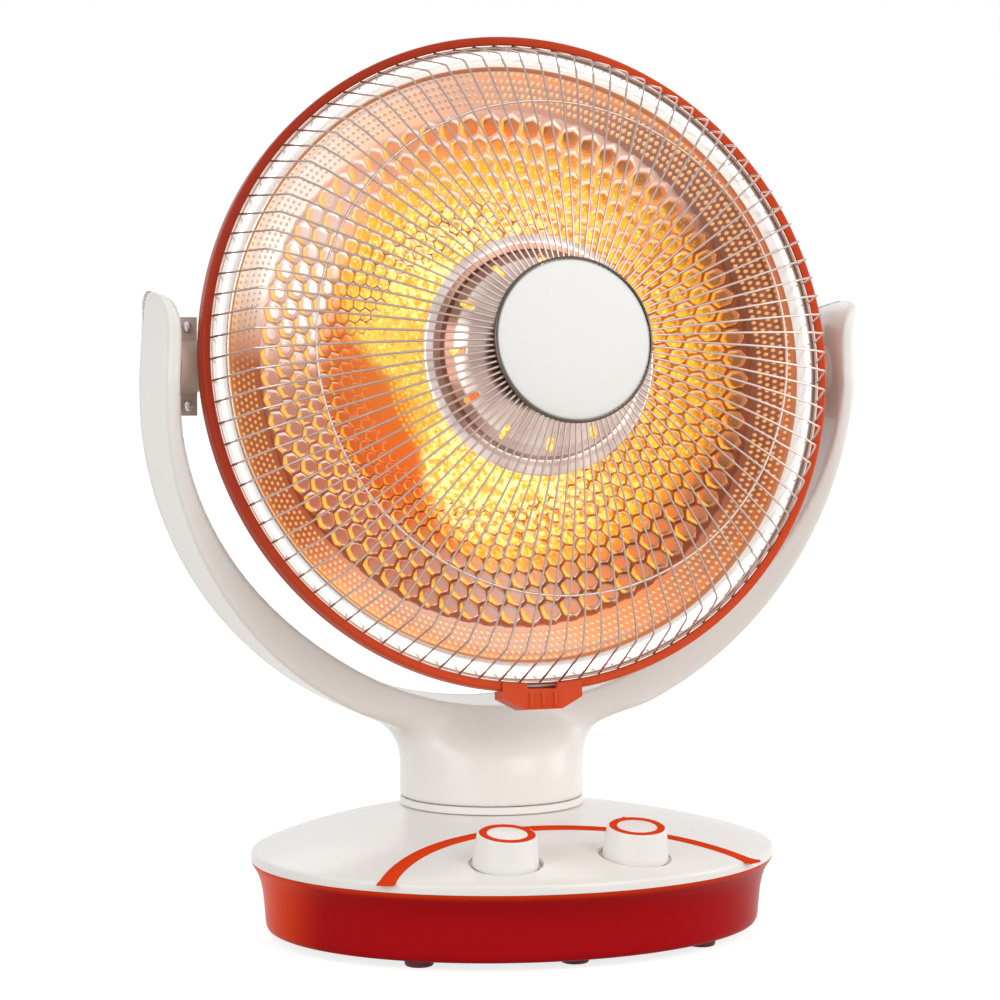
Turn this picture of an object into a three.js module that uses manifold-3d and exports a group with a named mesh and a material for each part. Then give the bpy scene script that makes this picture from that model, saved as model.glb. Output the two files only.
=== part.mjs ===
// Parabolic dish heater on an oscillating U yoke.
// Millimetres, +Z up, the heater faces -Y. The origin lies on the floor, at the middle of the oval base.

import * as THREE from 'three';
import { mergeVertices } from 'three/addons/utils/BufferGeometryUtils.js';
import Module from 'manifold-3d';

const wasm = await Module();
wasm.setup();

// Driving dimensions

// Whole heater
const seatGap = 0.3;
const runningGap = 0.5;
const cutOverrun = 2;
const columnOffset = 43;
const pivotRise = 12;
const pivotForward = 35;
const headTilt = THREE.MathUtils.degToRad(7.5);

// Oval base
const baseHalfWidth = 162.6;
const baseHalfDepth = 142;
const skirtSideInset = 9.5;
const skirtFrontInset = 13.5;
const skirtBottom = 5;
const skirtTop = 46.1;
const skirtWall = 2.5;
const plateEdgeHeight = 5.6;
const plateEdgeRound = 1.6;
const plateWall = 2.8;
const plateDomeRise = 15;
const collarFlareRise = 4.2;
const collarRadius = 58;
const collarHoleRadius = 44;
const coverThickness = 2.6;
const footRadius = 8.5;
const footSideInset = 74.6;
const footEndInset = 54;
const footMiddleInset = 34;
const footTaper = 1.2;

// Control panel
const knobSpacing = 80.2;
const knobInset = 40.4;
const knobBottomRadius = 21.8;
const knobTopRadius = 18.6;
const knobHeight = 17.5;
const knobSink = 2.2;
const knobEdgeRound = 1;
const knobRingOuter = 17.3;
const knobRingInner = 12.9;
const knobRingDepth = 0.8;
const knobRingProud = 0.3;
const knobNibLength = 2.6;
const knobNibHalfWidth = 1.7;
const heatKnobAngle = THREE.MathUtils.degToRad(23);
const timerKnobAngle = THREE.MathUtils.degToRad(97);
const wellFloor = 3;
const wellWall = 2.6;
const wellGap = 1.3;
const shaftRadius = 3;
const shaftReach = 9;
const switchWidth = 28;
const switchHeight = 14;
const timerRadius = 24;
const timerHeight = 17;
const stripeSideInset = 48.2;
const stripeEndInset = 34.1;
const stripeCrownGap = 25;
const stripeWidth = 9.5;
const stripeDepth = 1;
const stripeProud = 0.45;

// Inside the base
const ballastHalfWidth = 66;
const ballastDepth = 40;
const ballastThickness = 9;
const ballastReach = 62;
const ballastCorner = 8;
const tipSwitchInset = 64.6;
const tipSwitchWidth = 18;
const tipSwitchHeight = 24;
const plungerRadius = 4.5;
const plungerStemRadius = 2.4;
const plungerStemTop = 26;
const terminalLength = 40;
const terminalWidth = 16;
const terminalHeight = 15;
const terminalReachX = 66;
const terminalReachY = 62;
const grommetHeight = 22;
const grommetFlange = 9;
const grommetNeck = 6.5;
const grommetBore = 3.6;
const grommetLip = 3;
const grommetInside = 6;

// Oscillation drive
const motorRadius = 25;
const motorHeight = 15.5;
const motorShaftRadius = 3;
const motorShaftSink = 10;
const leverRadius = 36;
const linkRun = 57;
const crankPinRadius = 20.6;
const crankRimWidth = 4.6;
const crankThickness = 3.5;
const crankPinSize = 2.4;
const crankPinHeight = 2;
const linkThickness = 2.6;
const linkEyeRadius = 5.6;
const leverThickness = 4;
const leverHubWall = 6;
const spindleRadius = 14;
const spindlePinRadius = 8;
const spindlePinLength = 16;
const bushWall = 7;
const bushHeight = 19.5;

// Column and yoke
const turntableHeight = 4.7;
const columnRadius = 58;
const columnChamfer = 0.8;
const bandBottom = 112.7;
const neckDrop = 14.7;
const neckSink = 21.3;
const neckSpread = 18;
const neckFrontDepth = 26;
const neckRearDepth = 30;
const yokeClearance = 20.3;
const armThickness = 8.4;
const bandThickness = 23;
const armTop = 56;
const armFront = 67;
const armRear = 20;
const bandFront = 28;
const bandRear = 40;
const tipFlare = 6;
const bandRound = 3.2;
const bandInnerRound = 2;
const rearCoverDepth = 5;

// Tilt pivots
const trunnionRadius = 8;
const trunnionBossRadius = 15;
const trunnionBossLength = 18.7;
const bearingDepth = 11.6;
const pivotPadHeight = 3;
const clampRadius = 17;
const clampEarHeight = 29;
const clampEarDepth = 6;
const clampScrewHeight = 23.3;
const clampScrewRadius = 3.4;
const clampScrewHead = 2;

// Head
const hoopRadius = 200;
const hoopFront = 33;
const hoopDepth = 13;
const hoopFace = 5.1;
const hoopRearFace = 5.8;
const hoopWall = 2.2;
const hoopLip = 2.2;
const hoopNotchHalfWidth = 9.4;
const hoopNotchDepth = 3.4;
const hoopRearLip = 2;
const hoopRound = 1.5;
const flangeThickness = 1.4;
const shellFlangeRise = 2.3;
const shellWall = 2.3;
const shellRimInset = 6.6;
const shellBackRadius = 70;
const ventCount = 8;
const ventInner = 34;
const ventMargin = 8;
const ventWidth = 5;
const clipHalfWidth = 25;
const clipToeHalfWidth = 12;
const clipDrop = 10.1;
const clipShoulder = 4.8;
const clipFace = 2.2;
const clipDepth = 14;
const clipRibWidth = 2.2;
const clipRibPitch = 7.7;
const clipRibHeight = 1.1;
const clipScrewRadius = 2.6;
const clipScrewLength = 3;

// Reflector
const dishRimInset = 18.5;
const dishDepth = 78;
const dishRimDrop = 9.5;
const dishWall = 1.5;
const beadDrop = 4.6;
const beadOuterInset = 7;
const beadCrownInset = 11;
const dimpleBand = 21.5;
const honeycombMargin = 3;
const honeycombInner = 88;
const honeycombRows = 5;
const honeycombCells = 30;
const honeycombBulge = 1.4;
const dishHoleRadius = 24;

// Heating element
const elementFlangeRadius = 32;
const elementFlangeThickness = 4;
const elementSpigotHeight = 3.2;
const coreBaseRadius = 21;
const coreTopRadius = 17;
const spacerLength = 2.8;
const studRadius = 3;
const studTail = 8;
const coilTurns = 8;
const coilStepsPerTurn = 8;
const coilSides = 5;
const coilTubeRadius = 1.8;
const coilStartInset = 17.5;
const coilEndInset = 16;
const nutRadius = 6;
const nutHeight = 4.5;
const cutoutRadius = 8.5;
const cutoutHeight = 7;
const cutoutReach = 16;
const headTerminalLength = 44;
const headTerminalWidth = 18;
const headTerminalHeight = 14;
const headTerminalRoom = 7.5;

// Front shield, measured forward of the hoop's front
const shieldRadius = 72.8;
const shieldRimForward = 22.5;
const shieldRingInner = 63;
const shieldRingForward = 25.5;
const shieldStepRadius = 61.5;
const shieldStepForward = 30.5;
const shieldShoulderRadius = 49;
const shieldShoulderForward = 38.5;
const shieldFaceRadius = 36;
const shieldFaceForward = 42.5;
const shieldWall = 1.1;
const shieldRimRoll = 1.5;
const slotCount = 12;
const slotLength = 8.5;
const slotWidth = 4.4;

// Wire grille, measured forward of the hoop's front
const wireCount = 96;
const wireRadius = 1;
const grilleHubRadius = 43;
const grilleMidInset = 32.7;
const grilleKinkInset = 21.4;
const grilleKinkForward = 43;
const grilleDomeRadius = 426;
const grilleRimInset = 4.4;
const grilleRimWidth = 2.8;
const grilleRimDrop = 4.2;
const grilleRimRise = 1.2;
const capRadius = 46.8;
const capDome = 4.2;
const capEdge = 2;
const capWall = 1.6;
const capRingWidth = 1.4;
const capRingHeight = 2.2;
const retainerRadius = 45;
const retainerThickness = 1.8;
const retainerBossRadius = 8;

// Facets round each kind of piece
const ovalSegments = 32;
const headSegments = 36;
const shieldSegments = 24;
const knobSegments = 18;
const smallSegments = 12;
const screwSegments = 8;
const nutSides = 6;

// Derived places
const plateBottom = skirtTop + seatGap;
const plateTop = plateBottom + plateEdgeHeight;
const collarTop = plateTop + plateDomeRise + collarFlareRise;
const coverBottom = skirtBottom + seatGap;
const floorTop = coverBottom + coverThickness + seatGap;
const turntableBottom = collarTop + runningGap;
const columnBottom = turntableBottom + turntableHeight + seatGap;
const tipSwitchX = tipSwitchInset - baseHalfWidth;
const knobReach = baseHalfDepth - knobInset;
const stripeHalfLength = baseHalfWidth - stripeSideInset;
const stripeEndReach = baseHalfDepth - stripeEndInset;
const stripeCrownReach = collarRadius - columnOffset + stripeCrownGap;
const columnStraightTop = bandBottom - neckDrop;
const neckTop = bandBottom + neckSink;
const yokeRadius = hoopRadius + yokeClearance;
const yokeCentreHeight = bandBottom + yokeRadius;
const pivotHeight = yokeCentreHeight + pivotRise;
const armInner = yokeRadius - armThickness;
const padInner = armInner - pivotPadHeight;
const blockOuter = padInner - seatGap;
const blockInner = blockOuter - bearingDepth;
const trunnionBossEnd = blockInner - seatGap;
const hoopBack = hoopFront - hoopDepth;
const shellRimRadius = hoopRadius - shellRimInset;
const beadOuterRadius = hoopRadius - beadOuterInset;
const beadCrownRadius = hoopRadius - beadCrownInset;
const dishRadius = hoopRadius - dishRimInset;
const dimpleInnerRadius = dishRadius - dimpleBand;
const honeycombOuter = dimpleInnerRadius - honeycombMargin;
const dishRimS = hoopFront - dishRimDrop;
const dishVertex = dishRimS - dishDepth;
const dishS = (r) => dishVertex + dishDepth * (r / dishRadius) ** 2;
const elementBack = dishS(elementFlangeRadius) - dishWall - seatGap - elementFlangeThickness;
const elementSeat = dishS(dishHoleRadius) + elementSpigotHeight;
const headTerminalBack = elementBack - studTail - headTerminalRoom - headTerminalHeight;
const shellBack = headTerminalBack - seatGap - shellWall;
const shieldBack = hoopFront + shieldFaceForward - shieldWall;
const coreTop = shieldBack - spacerLength - 2 * seatGap;
const grilleRimRadius = hoopRadius - grilleRimInset;
const grilleKinkRadius = hoopRadius - grilleKinkInset;
const grilleMidRadius = grilleKinkRadius - grilleMidInset;

// Geometry helpers

const lerp = THREE.MathUtils.lerp;

function clean(geometry) {
  geometry.deleteAttribute('normal');
  geometry.deleteAttribute('uv');
  const merged = mergeVertices(geometry, 1e-4);
  const position = merged.attributes.position;
  const index = merged.index.array;
  const kept = [];
  let volume = 0;
  const a = new THREE.Vector3();
  const b = new THREE.Vector3();
  const c = new THREE.Vector3();
  for (let i = 0; i < index.length; i += 3) {
    const [p, q, r] = [index[i], index[i + 1], index[i + 2]];
    if (p === q || q === r || r === p) {
      continue;
    }
    a.fromBufferAttribute(position, p);
    b.fromBufferAttribute(position, q);
    c.fromBufferAttribute(position, r);
    volume += a.dot(b.cross(c));
    kept.push(p, q, r);
  }
  if (volume < 0) {
    for (let i = 0; i < kept.length; i += 3) {
      [kept[i], kept[i + 1]] = [kept[i + 1], kept[i]];
    }
  }
  merged.setIndex(kept);
  return merged;
}

function toManifold(geometry) {
  const solid = clean(geometry);
  return new wasm.Manifold(new wasm.Mesh({
    numProp: 3,
    vertProperties: new Float32Array(solid.attributes.position.array),
    triVerts: new Uint32Array(solid.index.array),
  }));
}

function fromManifold(manifold) {
  const mesh = manifold.getMesh();
  const geometry = new THREE.BufferGeometry();
  geometry.setAttribute('position', new THREE.BufferAttribute(new Float32Array(mesh.vertProperties), 3));
  geometry.setIndex(Array.from(mesh.triVerts));
  return geometry;
}

function join(first, ...others) {
  return fromManifold(others.reduce((sum, g) => sum.add(toManifold(g)), toManifold(first)));
}

function cut(first, ...tools) {
  return fromManifold(tools.reduce((rest, g) => rest.subtract(toManifold(g)), toManifold(first)));
}

// A turned piece: the profile's points are [radius, height] and close on themselves or on the axis.
function turned(profile, segments = smallSegments) {
  const points = profile.map(([r, h]) => new THREE.Vector2(r, h));
  const onAxis = profile[0][0] === 0 && profile[profile.length - 1][0] === 0;
  if (!onAxis) {
    points.push(points[0].clone());
  }
  return clean(new THREE.LatheGeometry(points, segments));
}

const upright = (profile, segments) => turned(profile, segments).rotateX(Math.PI / 2);

// On the head, a profile's heights run forward along the dish's axis.
const facing = (profile, segments) => turned(profile, segments).rotateX(Math.PI);

// A piece drawn upright is laid along X.
const acrossX = (geometry) => geometry.rotateY(Math.PI / 2);

function disc(radius, bottom, top, segments = smallSegments) {
  return upright([[0, bottom], [radius, bottom], [radius, top], [0, top]], segments);
}

function block(x0, x1, y0, y1, z0, z1) {
  const box = new THREE.BoxGeometry(x1 - x0, y1 - y0, z1 - z0);
  return box.translate((x0 + x1) / 2, (y0 + y1) / 2, (z0 + z1) / 2);
}

function plate(shape, bottom, top, curveSegments) {
  const options = { depth: top - bottom, bevelEnabled: false, curveSegments };
  return clean(new THREE.ExtrudeGeometry(shape, options).translate(0, 0, bottom));
}

// A skin through loops of equal length. It closes on its first loop, or on a flat fan at each end.
function loft(loops, closed) {
  const n = loops[0].length;
  const vertices = loops.flat();
  const index = [];
  const last = closed ? loops.length : loops.length - 1;
  for (let i = 0; i < last; i += 1) {
    const k = (i + 1) % loops.length;
    for (let j = 0; j < n; j += 1) {
      const m = (j + 1) % n;
      index.push(i * n + j, i * n + m, k * n + m);
      index.push(i * n + j, k * n + m, k * n + j);
    }
  }
  if (!closed) {
    const addCap = (loop, start, forward) => {
      const centre = new THREE.Vector3();
      loop.forEach((p) => centre.add(p));
      const hub = vertices.push(centre.divideScalar(n)) - 1;
      for (let j = 0; j < n; j += 1) {
        const m = (j + 1) % n;
        index.push(hub, start + (forward ? j : m), start + (forward ? m : j));
      }
    };
    addCap(loops[0], 0, false);
    addCap(loops[loops.length - 1], (loops.length - 1) * n, true);
  }
  const geometry = new THREE.BufferGeometry().setFromPoints(vertices);
  geometry.setIndex(index);
  return clean(geometry);
}

function ovalLoop(halfWidth, halfDepth, centreY, z, count = ovalSegments) {
  const loop = [];
  for (let i = 0; i < count; i += 1) {
    const angle = (2 * Math.PI * i) / count;
    loop.push(new THREE.Vector3(halfWidth * Math.cos(angle), centreY + halfDepth * Math.sin(angle), z));
  }
  return loop;
}

// Assembly

const heater = new THREE.Group();

function material(color, roughness, metalness = 0) {
  return { color, roughness, metalness };
}

const whitePlastic = material('#f1ede6', 0.35);
const redPlastic = material('#b01c1e', 0.28);
const orangePlastic = material('#d94e2c', 0.4);
const bracketPlastic = material('#dccfc4', 0.5);
const rubber = material('#5a1a18', 0.8);
const blackPlastic = material('#26262a', 0.6);
const steel = material('#b9bcc0', 0.35, 1);
const brightWire = material('#d9c6bf', 0.25, 1);
const mirrorMetal = material('#e0a070', 0.2, 1);
const chrome = material('#d8d4d2', 0.12, 1);
const ceramic = material('#e9e2d4', 0.7);
const castIron = material('#55575a', 0.7, 0.6);
const hotWire = material('#ff7a20', 0.6, 0.3);

function addPiece(parent, name, geometry, finish) {
  const mesh = new THREE.Mesh(clean(geometry), new THREE.MeshStandardMaterial(finish));
  mesh.name = name;
  parent.add(mesh);
  return mesh;
}

// Base skirt
// The outer wall leans in below its flared rim and rounds under at the floor.

const skirtShares = [
  [1, 0],
  [0.86, 0.34],
  [0.56, 0.72],
  [0.08, 0.9],
  [0, 1.12],
];

function skirtLoop(heightShare, insetShare, wall) {
  const halfWidth = baseHalfWidth - skirtSideInset * insetShare - wall;
  const halfDepth = baseHalfDepth - skirtFrontInset * insetShare - wall;
  return ovalLoop(halfWidth, halfDepth, 0, lerp(skirtBottom, skirtTop, heightShare));
}

const skirtOuter = skirtShares.map(([h, k]) => skirtLoop(h, k, 0));
const skirtInner = skirtShares.slice().reverse().map(([h, k]) => skirtLoop(h, k, skirtWall));
const grommetShare = lerp(skirtShares[2][1], skirtShares[3][1], 1 / 3);
const grommetPlace = baseHalfDepth - skirtFrontInset * grommetShare;

function acrossRear(geometry) {
  return geometry.rotateX(-Math.PI / 2).translate(0, grommetPlace, grommetHeight);
}

const grommetHole = acrossRear(disc(grommetNeck + seatGap, -grommetInside * 2, grommetInside * 2));
addPiece(heater, 'base_skirt', cut(loft([...skirtOuter, ...skirtInner], true), grommetHole), redPlastic);

// Cord inlet: a rubber grommet that grips the rear wall on both sides.

const grommetProfile = [
  [grommetBore, -grommetInside],
  [grommetFlange, -grommetInside],
  [grommetFlange, -skirtWall - skirtWall / 2 - seatGap],
  [grommetNeck, -skirtWall - skirtWall / 2 - seatGap],
  [grommetNeck, skirtWall],
  [grommetFlange, skirtWall],
  [grommetFlange - seatGap, skirtWall + grommetLip],
  [grommetBore, skirtWall + grommetLip],
];
addPiece(heater, 'cord_inlet_grommet', acrossRear(upright(grommetProfile, screwSegments)), blackPlastic);

// Top plate
// Rings run from the oval rim to the round collar, and the surface rises between them.

function plateRing(share) {
  return {
    halfWidth: lerp(baseHalfWidth, collarRadius, share),
    halfDepth: lerp(baseHalfDepth, collarRadius, share),
    centreY: lerp(0, columnOffset, share),
  };
}

function plateHeight(share) {
  return plateTop + plateDomeRise * (1 - (1 - share) ** 2) + collarFlareRise * share ** 8;
}

function plateLoop(share, inset, z) {
  const ring = plateRing(share);
  return ovalLoop(ring.halfWidth - inset, ring.halfDepth - inset, ring.centreY, z);
}

// The share of the way from rim to collar at a point of the plan.
function plateShare(x, y) {
  let low = 0;
  let high = 1;
  for (let i = 0; i < 40; i += 1) {
    const middle = (low + high) / 2;
    const ring = plateRing(middle);
    const reach = (x / ring.halfWidth) ** 2 + ((y - ring.centreY) / ring.halfDepth) ** 2;
    if (reach < 1) {
      low = middle;
    } else {
      high = middle;
    }
  }
  return low;
}

const plateSurface = (x, y) => plateHeight(plateShare(x, y));

const plateTopShares = [0.12, 0.42, 0.78, 1];
const plateUnderShares = [0.42];
const plateLoops = [
  plateLoop(0, 0, plateBottom),
  plateLoop(0, 0, plateTop - plateEdgeRound),
  plateLoop(0, plateEdgeRound / 3, plateTop - plateEdgeRound / 3),
  ...plateTopShares.map((share) => plateLoop(share, 0, plateHeight(share))),
  ovalLoop(collarHoleRadius, collarHoleRadius, columnOffset, collarTop),
  ovalLoop(collarHoleRadius, collarHoleRadius, columnOffset, collarTop - plateWall),
  ...plateUnderShares.map((share) => plateLoop(share, plateWall / 2, plateHeight(share) - plateWall)),
  plateLoop(0, plateWall, plateTop - plateWall),
  plateLoop(0, plateWall, plateBottom),
];

// Knob places: each axis stands square to the panel under it.
const knobX = knobSpacing / 2;
const panelStep = 1;
const panelFall = plateSurface(knobX, -knobReach + panelStep) - plateSurface(knobX, -knobReach - panelStep);
const panelTilt = Math.atan2(panelFall, 2 * panelStep);

function atKnob(geometry, side) {
  return geometry.rotateX(panelTilt).translate(side * knobX, -knobReach, plateSurface(knobX, -knobReach));
}

const wellRadius = knobBottomRadius + wellGap;

function wellCup(side) {
  const bottom = -wellFloor - wellWall;
  return atKnob(disc(wellRadius + wellWall, bottom, -plateWall / 2, knobSegments), side);
}

function wellPocket(side) {
  return atKnob(disc(wellRadius, -wellFloor, wellFloor * 2, knobSegments), side);
}

function shaftHole(side) {
  return atKnob(disc(shaftRadius + runningGap, -wellFloor - wellWall - cutOverrun, 0), side);
}

// Orange stripe: an arc laid into the panel, ahead of the collar and behind the knobs.
const stripeSagitta = stripeEndReach - stripeCrownReach;
const stripeRadius = (stripeHalfLength ** 2 + stripeSagitta ** 2) / (2 * stripeSagitta);
const stripeCentreY = -stripeCrownReach - stripeRadius;
const stripeHalfAngle = Math.asin(stripeHalfLength / stripeRadius);
const stripeSteps = 10;

function stripeBand(sideGap, top, bottom) {
  const loops = [];
  const half = stripeWidth / 2 + sideGap;
  const endAngle = stripeHalfAngle + sideGap / stripeRadius;
  for (let i = 0; i <= stripeSteps; i += 1) {
    const angle = lerp(-endAngle, endAngle, i / stripeSteps);
    const place = (radius, lift) => {
      const x = radius * Math.sin(angle);
      const y = stripeCentreY + radius * Math.cos(angle);
      return new THREE.Vector3(x, y, plateSurface(x, y) + lift);
    };
    loops.push([
      place(stripeRadius - half, top),
      place(stripeRadius + half, top),
      place(stripeRadius + half, bottom),
      place(stripeRadius - half, bottom),
    ]);
  }
  return loft(loops, false);
}

const panelBlank = join(loft(plateLoops, true), wellCup(-1), wellCup(1));
const topPlate = cut(
  panelBlank,
  wellPocket(-1),
  wellPocket(1),
  shaftHole(-1),
  shaftHole(1),
  stripeBand(seatGap, cutOverrun, -stripeDepth - seatGap),
);
addPiece(heater, 'base_top_plate', topPlate, whitePlastic);
addPiece(heater, 'panel_stripe', stripeBand(0, stripeProud, -stripeDepth), orangePlastic);

// Bottom cover, feet and ballast

const coverInset = skirtShares[4][1];
const coverTop = coverBottom + coverThickness;

function coverLoop(z) {
  const halfWidth = baseHalfWidth - skirtSideInset * coverInset - skirtWall - seatGap;
  const halfDepth = baseHalfDepth - skirtFrontInset * coverInset - skirtWall - seatGap;
  return ovalLoop(halfWidth, halfDepth, 0, z);
}

const plungerHole = disc(plungerRadius + runningGap, coverBottom - cutOverrun, coverTop + cutOverrun);
const coverBlank = loft([coverLoop(coverBottom), coverLoop(coverTop)], false);
const bottomCover = cut(coverBlank, plungerHole.translate(tipSwitchX, 0, 0));
addPiece(heater, 'bottom_cover', bottomCover, blackPlastic);

const footReachX = baseHalfWidth - footSideInset;
const footReachY = baseHalfDepth - footEndInset;
const footPlaces = [
  [-footReachX, -footReachY],
  [0, footMiddleInset - baseHalfDepth],
  [footReachX, -footReachY],
  [-footReachX, footReachY],
  [0, baseHalfDepth - footMiddleInset],
  [footReachX, footReachY],
];
footPlaces.forEach(([x, y], i) => {
  const foot = upright([[0, 0], [footRadius - footTaper, 0], [footRadius, footTaper], [footRadius, skirtBottom], [0, skirtBottom]], screwSegments);
  addPiece(heater, `foot_${i + 1}`, foot.translate(x, y, 0), rubber);
});

function roundedPlate(halfWidth, depth, corner) {
  const shape = new THREE.Shape();
  const half = depth / 2;
  shape.absarc(halfWidth - corner, half - corner, corner, 0, Math.PI / 2);
  shape.absarc(-halfWidth + corner, half - corner, corner, Math.PI / 2, Math.PI);
  shape.absarc(-halfWidth + corner, -half + corner, corner, Math.PI, 1.5 * Math.PI);
  shape.absarc(halfWidth - corner, -half + corner, corner, 1.5 * Math.PI, 2 * Math.PI);
  return shape;
}

const ballast = plate(roundedPlate(ballastHalfWidth, ballastDepth, ballastCorner), floorTop, floorTop + ballastThickness, 4);
addPiece(heater, 'ballast_plate', ballast.translate(0, -ballastReach, 0), castIron);

// Tip-over switch: its plunger rests on the floor and drops when the heater leans.

const tipHalf = tipSwitchWidth / 2;
const tipBody = cut(
  block(tipSwitchX - tipHalf, tipSwitchX + tipHalf, -tipHalf, tipHalf, floorTop, floorTop + tipSwitchHeight),
  disc(plungerStemRadius + seatGap, floorTop - cutOverrun, floorTop + tipSwitchHeight + cutOverrun).translate(tipSwitchX, 0, 0),
);
addPiece(heater, 'tip_switch', tipBody, blackPlastic);
const plungerCollar = floorTop - runningGap;
const plungerProfile = [
  [0, 0],
  [plungerRadius / 2, 0],
  [plungerRadius, plungerRadius / 2],
  [plungerRadius, plungerCollar],
  [plungerStemRadius, plungerCollar],
  [plungerStemRadius, plungerStemTop],
  [0, plungerStemTop],
];
addPiece(heater, 'tip_plunger', upright(plungerProfile).translate(tipSwitchX, 0, 0), steel);

const terminalBlock = block(
  -terminalReachX - terminalLength / 2,
  -terminalReachX + terminalLength / 2,
  terminalReachY,
  terminalReachY + terminalWidth,
  floorTop,
  floorTop + terminalHeight,
);
addPiece(heater, 'base_terminal_block', terminalBlock, whitePlastic);

// Oscillation drive: motor, crank and link turn the column's lever to and fro.

const motorX = leverRadius;
const motorY = columnOffset - linkRun;
const crankBottom = floorTop + motorHeight + runningGap;
const crankTop = crankBottom + crankThickness;
const linkBottom = crankTop + crankPinHeight + runningGap;
const linkTop = linkBottom + linkThickness;
const leverBottom = linkTop + runningGap;
const leverTop = leverBottom + leverThickness;

const motorProfile = [
  [0, floorTop],
  [motorRadius, floorTop],
  [motorRadius, floorTop + motorHeight],
  [motorShaftRadius + seatGap, floorTop + motorHeight],
  [motorShaftRadius + seatGap, floorTop + motorHeight - motorShaftSink],
  [0, floorTop + motorHeight - motorShaftSink],
];
addPiece(heater, 'swing_motor', upright(motorProfile).translate(motorX, motorY, 0), steel);

const crankProfile = [
  [0, crankBottom - motorShaftSink],
  [motorShaftRadius, crankBottom - motorShaftSink],
  [motorShaftRadius, crankBottom],
  [crankPinRadius + crankRimWidth, crankBottom],
  [crankPinRadius + crankRimWidth, crankTop],
  [0, crankTop],
];
const crankPin = disc(crankPinSize, crankBottom + crankThickness / 2, crankTop + crankPinHeight, screwSegments).translate(crankPinRadius, 0, 0);
addPiece(heater, 'crank_disc', join(upright(crankProfile), crankPin).translate(motorX, motorY, 0), blackPlastic);

const linkLength = Math.hypot(crankPinRadius, linkRun);
const linkShape = new THREE.Shape();
linkShape.absarc(0, 0, linkEyeRadius, Math.PI / 2, 1.5 * Math.PI);
linkShape.absarc(linkLength, 0, linkEyeRadius, -Math.PI / 2, Math.PI / 2);
[0, linkLength].forEach((x) => {
  const eye = new THREE.Path();
  eye.absarc(x, 0, crankPinSize + runningGap, 0, 2 * Math.PI);
  linkShape.holes.push(eye);
});
const link = plate(linkShape, linkBottom, linkTop, screwSegments / 2);
link.rotateZ(Math.atan2(-linkRun, crankPinRadius));
addPiece(heater, 'drive_link', link.translate(leverRadius, columnOffset, 0), steel);

// Column parts, placed about the column's own axis

const column = new THREE.Group();
column.position.set(0, columnOffset, 0);
heater.add(column);

const leverHub = upright([
  [spindleRadius + seatGap, leverBottom],
  [spindleRadius + leverHubWall, leverBottom],
  [spindleRadius + leverHubWall, leverTop],
  [spindleRadius + seatGap, leverTop],
]);
const leverArm = block(spindleRadius + leverHubWall / 2, leverRadius, -linkEyeRadius, linkEyeRadius, leverBottom, leverTop);
const leverEnd = disc(linkEyeRadius, leverBottom, leverTop, screwSegments).translate(leverRadius, 0, 0);
const leverPin = disc(crankPinSize, linkBottom, leverBottom + leverThickness / 2, screwSegments).translate(leverRadius, 0, 0);
addPiece(column, 'swing_lever', join(leverHub, leverArm, leverEnd, leverPin), steel);

const bushTop = floorTop + bushHeight;
const spindleStep = bushTop + seatGap;
const spindleProfile = [
  [0, bushTop - spindlePinLength],
  [spindlePinRadius, bushTop - spindlePinLength],
  [spindlePinRadius, spindleStep],
  [spindleRadius, spindleStep],
  [spindleRadius, columnBottom - seatGap],
  [0, columnBottom - seatGap],
];
addPiece(column, 'column_spindle', upright(spindleProfile), steel);

const bushBore = spindlePinRadius + seatGap;
const bushProfile = [
  [bushBore, floorTop],
  [bushBore + bushWall * 2, floorTop],
  [bushBore + bushWall * 2, floorTop + coverThickness],
  [bushBore + bushWall, floorTop + coverThickness * 2],
  [bushBore + bushWall, bushTop],
  [bushBore, bushTop],
];
addPiece(heater, 'spindle_bush', upright(bushProfile).translate(0, columnOffset, 0), blackPlastic);

const turntableTop = turntableBottom + turntableHeight;
const turntableProfile = [
  [spindleRadius + seatGap, turntableBottom],
  [columnRadius, turntableBottom],
  [columnRadius, turntableTop],
  [spindleRadius + seatGap, turntableTop],
];
addPiece(column, 'turntable_ring', upright(turntableProfile, ovalSegments), whitePlastic);

// Yoke: a round column that spreads into a U band. The band is thick below and thin at its arms.

const neckShares = [
  [0, 0],
  [0.22, 0.05],
  [0.4, 0.2],
  [0.56, 0.45],
  [0.72, 0.74],
  [0.88, 0.93],
  [1, 1],
];

function neckSolid(clearance) {
  const loops = [
    ovalLoop(columnRadius - columnChamfer, columnRadius - columnChamfer, 0, columnBottom),
    ovalLoop(columnRadius + clearance, columnRadius + clearance, 0, columnBottom + columnChamfer),
  ];
  neckShares.forEach(([heightShare, share]) => {
    const halfWidth = lerp(columnRadius, columnRadius + neckSpread, share) + clearance;
    const front = lerp(columnRadius, neckFrontDepth, share) + clearance;
    const rear = lerp(columnRadius, neckRearDepth, share) + clearance;
    const z = lerp(columnStraightTop, neckTop, heightShare);
    loops.push(ovalLoop(halfWidth, (front + rear) / 2, (rear - front) / 2, z));
  });
  return loft(loops, false);
}

// Each station of the band has its place on the U, its thickness and its front and rear edges.
const tipShares = [
  { height: 1, front: 0.24, rear: 0.62, thick: 0.42, flare: 1 },
  { height: 0.95, front: 0.08, rear: 0.42, thick: 0.66, flare: 0.72 },
  { height: 0.86, front: 0.02, rear: 0.22, thick: 0.84, flare: 0.3 },
  { height: 0.7, front: 0, rear: 0.08, thick: 0.94, flare: -0.1 },
  { height: 0.45, front: 0, rear: 0.01, thick: 1, flare: -0.16 },
  { height: 0.2, front: 0, rear: 0, thick: 1, flare: -0.06 },
];
const bandSteps = 8;
const thickeningAngle = THREE.MathUtils.degToRad(60);

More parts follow.
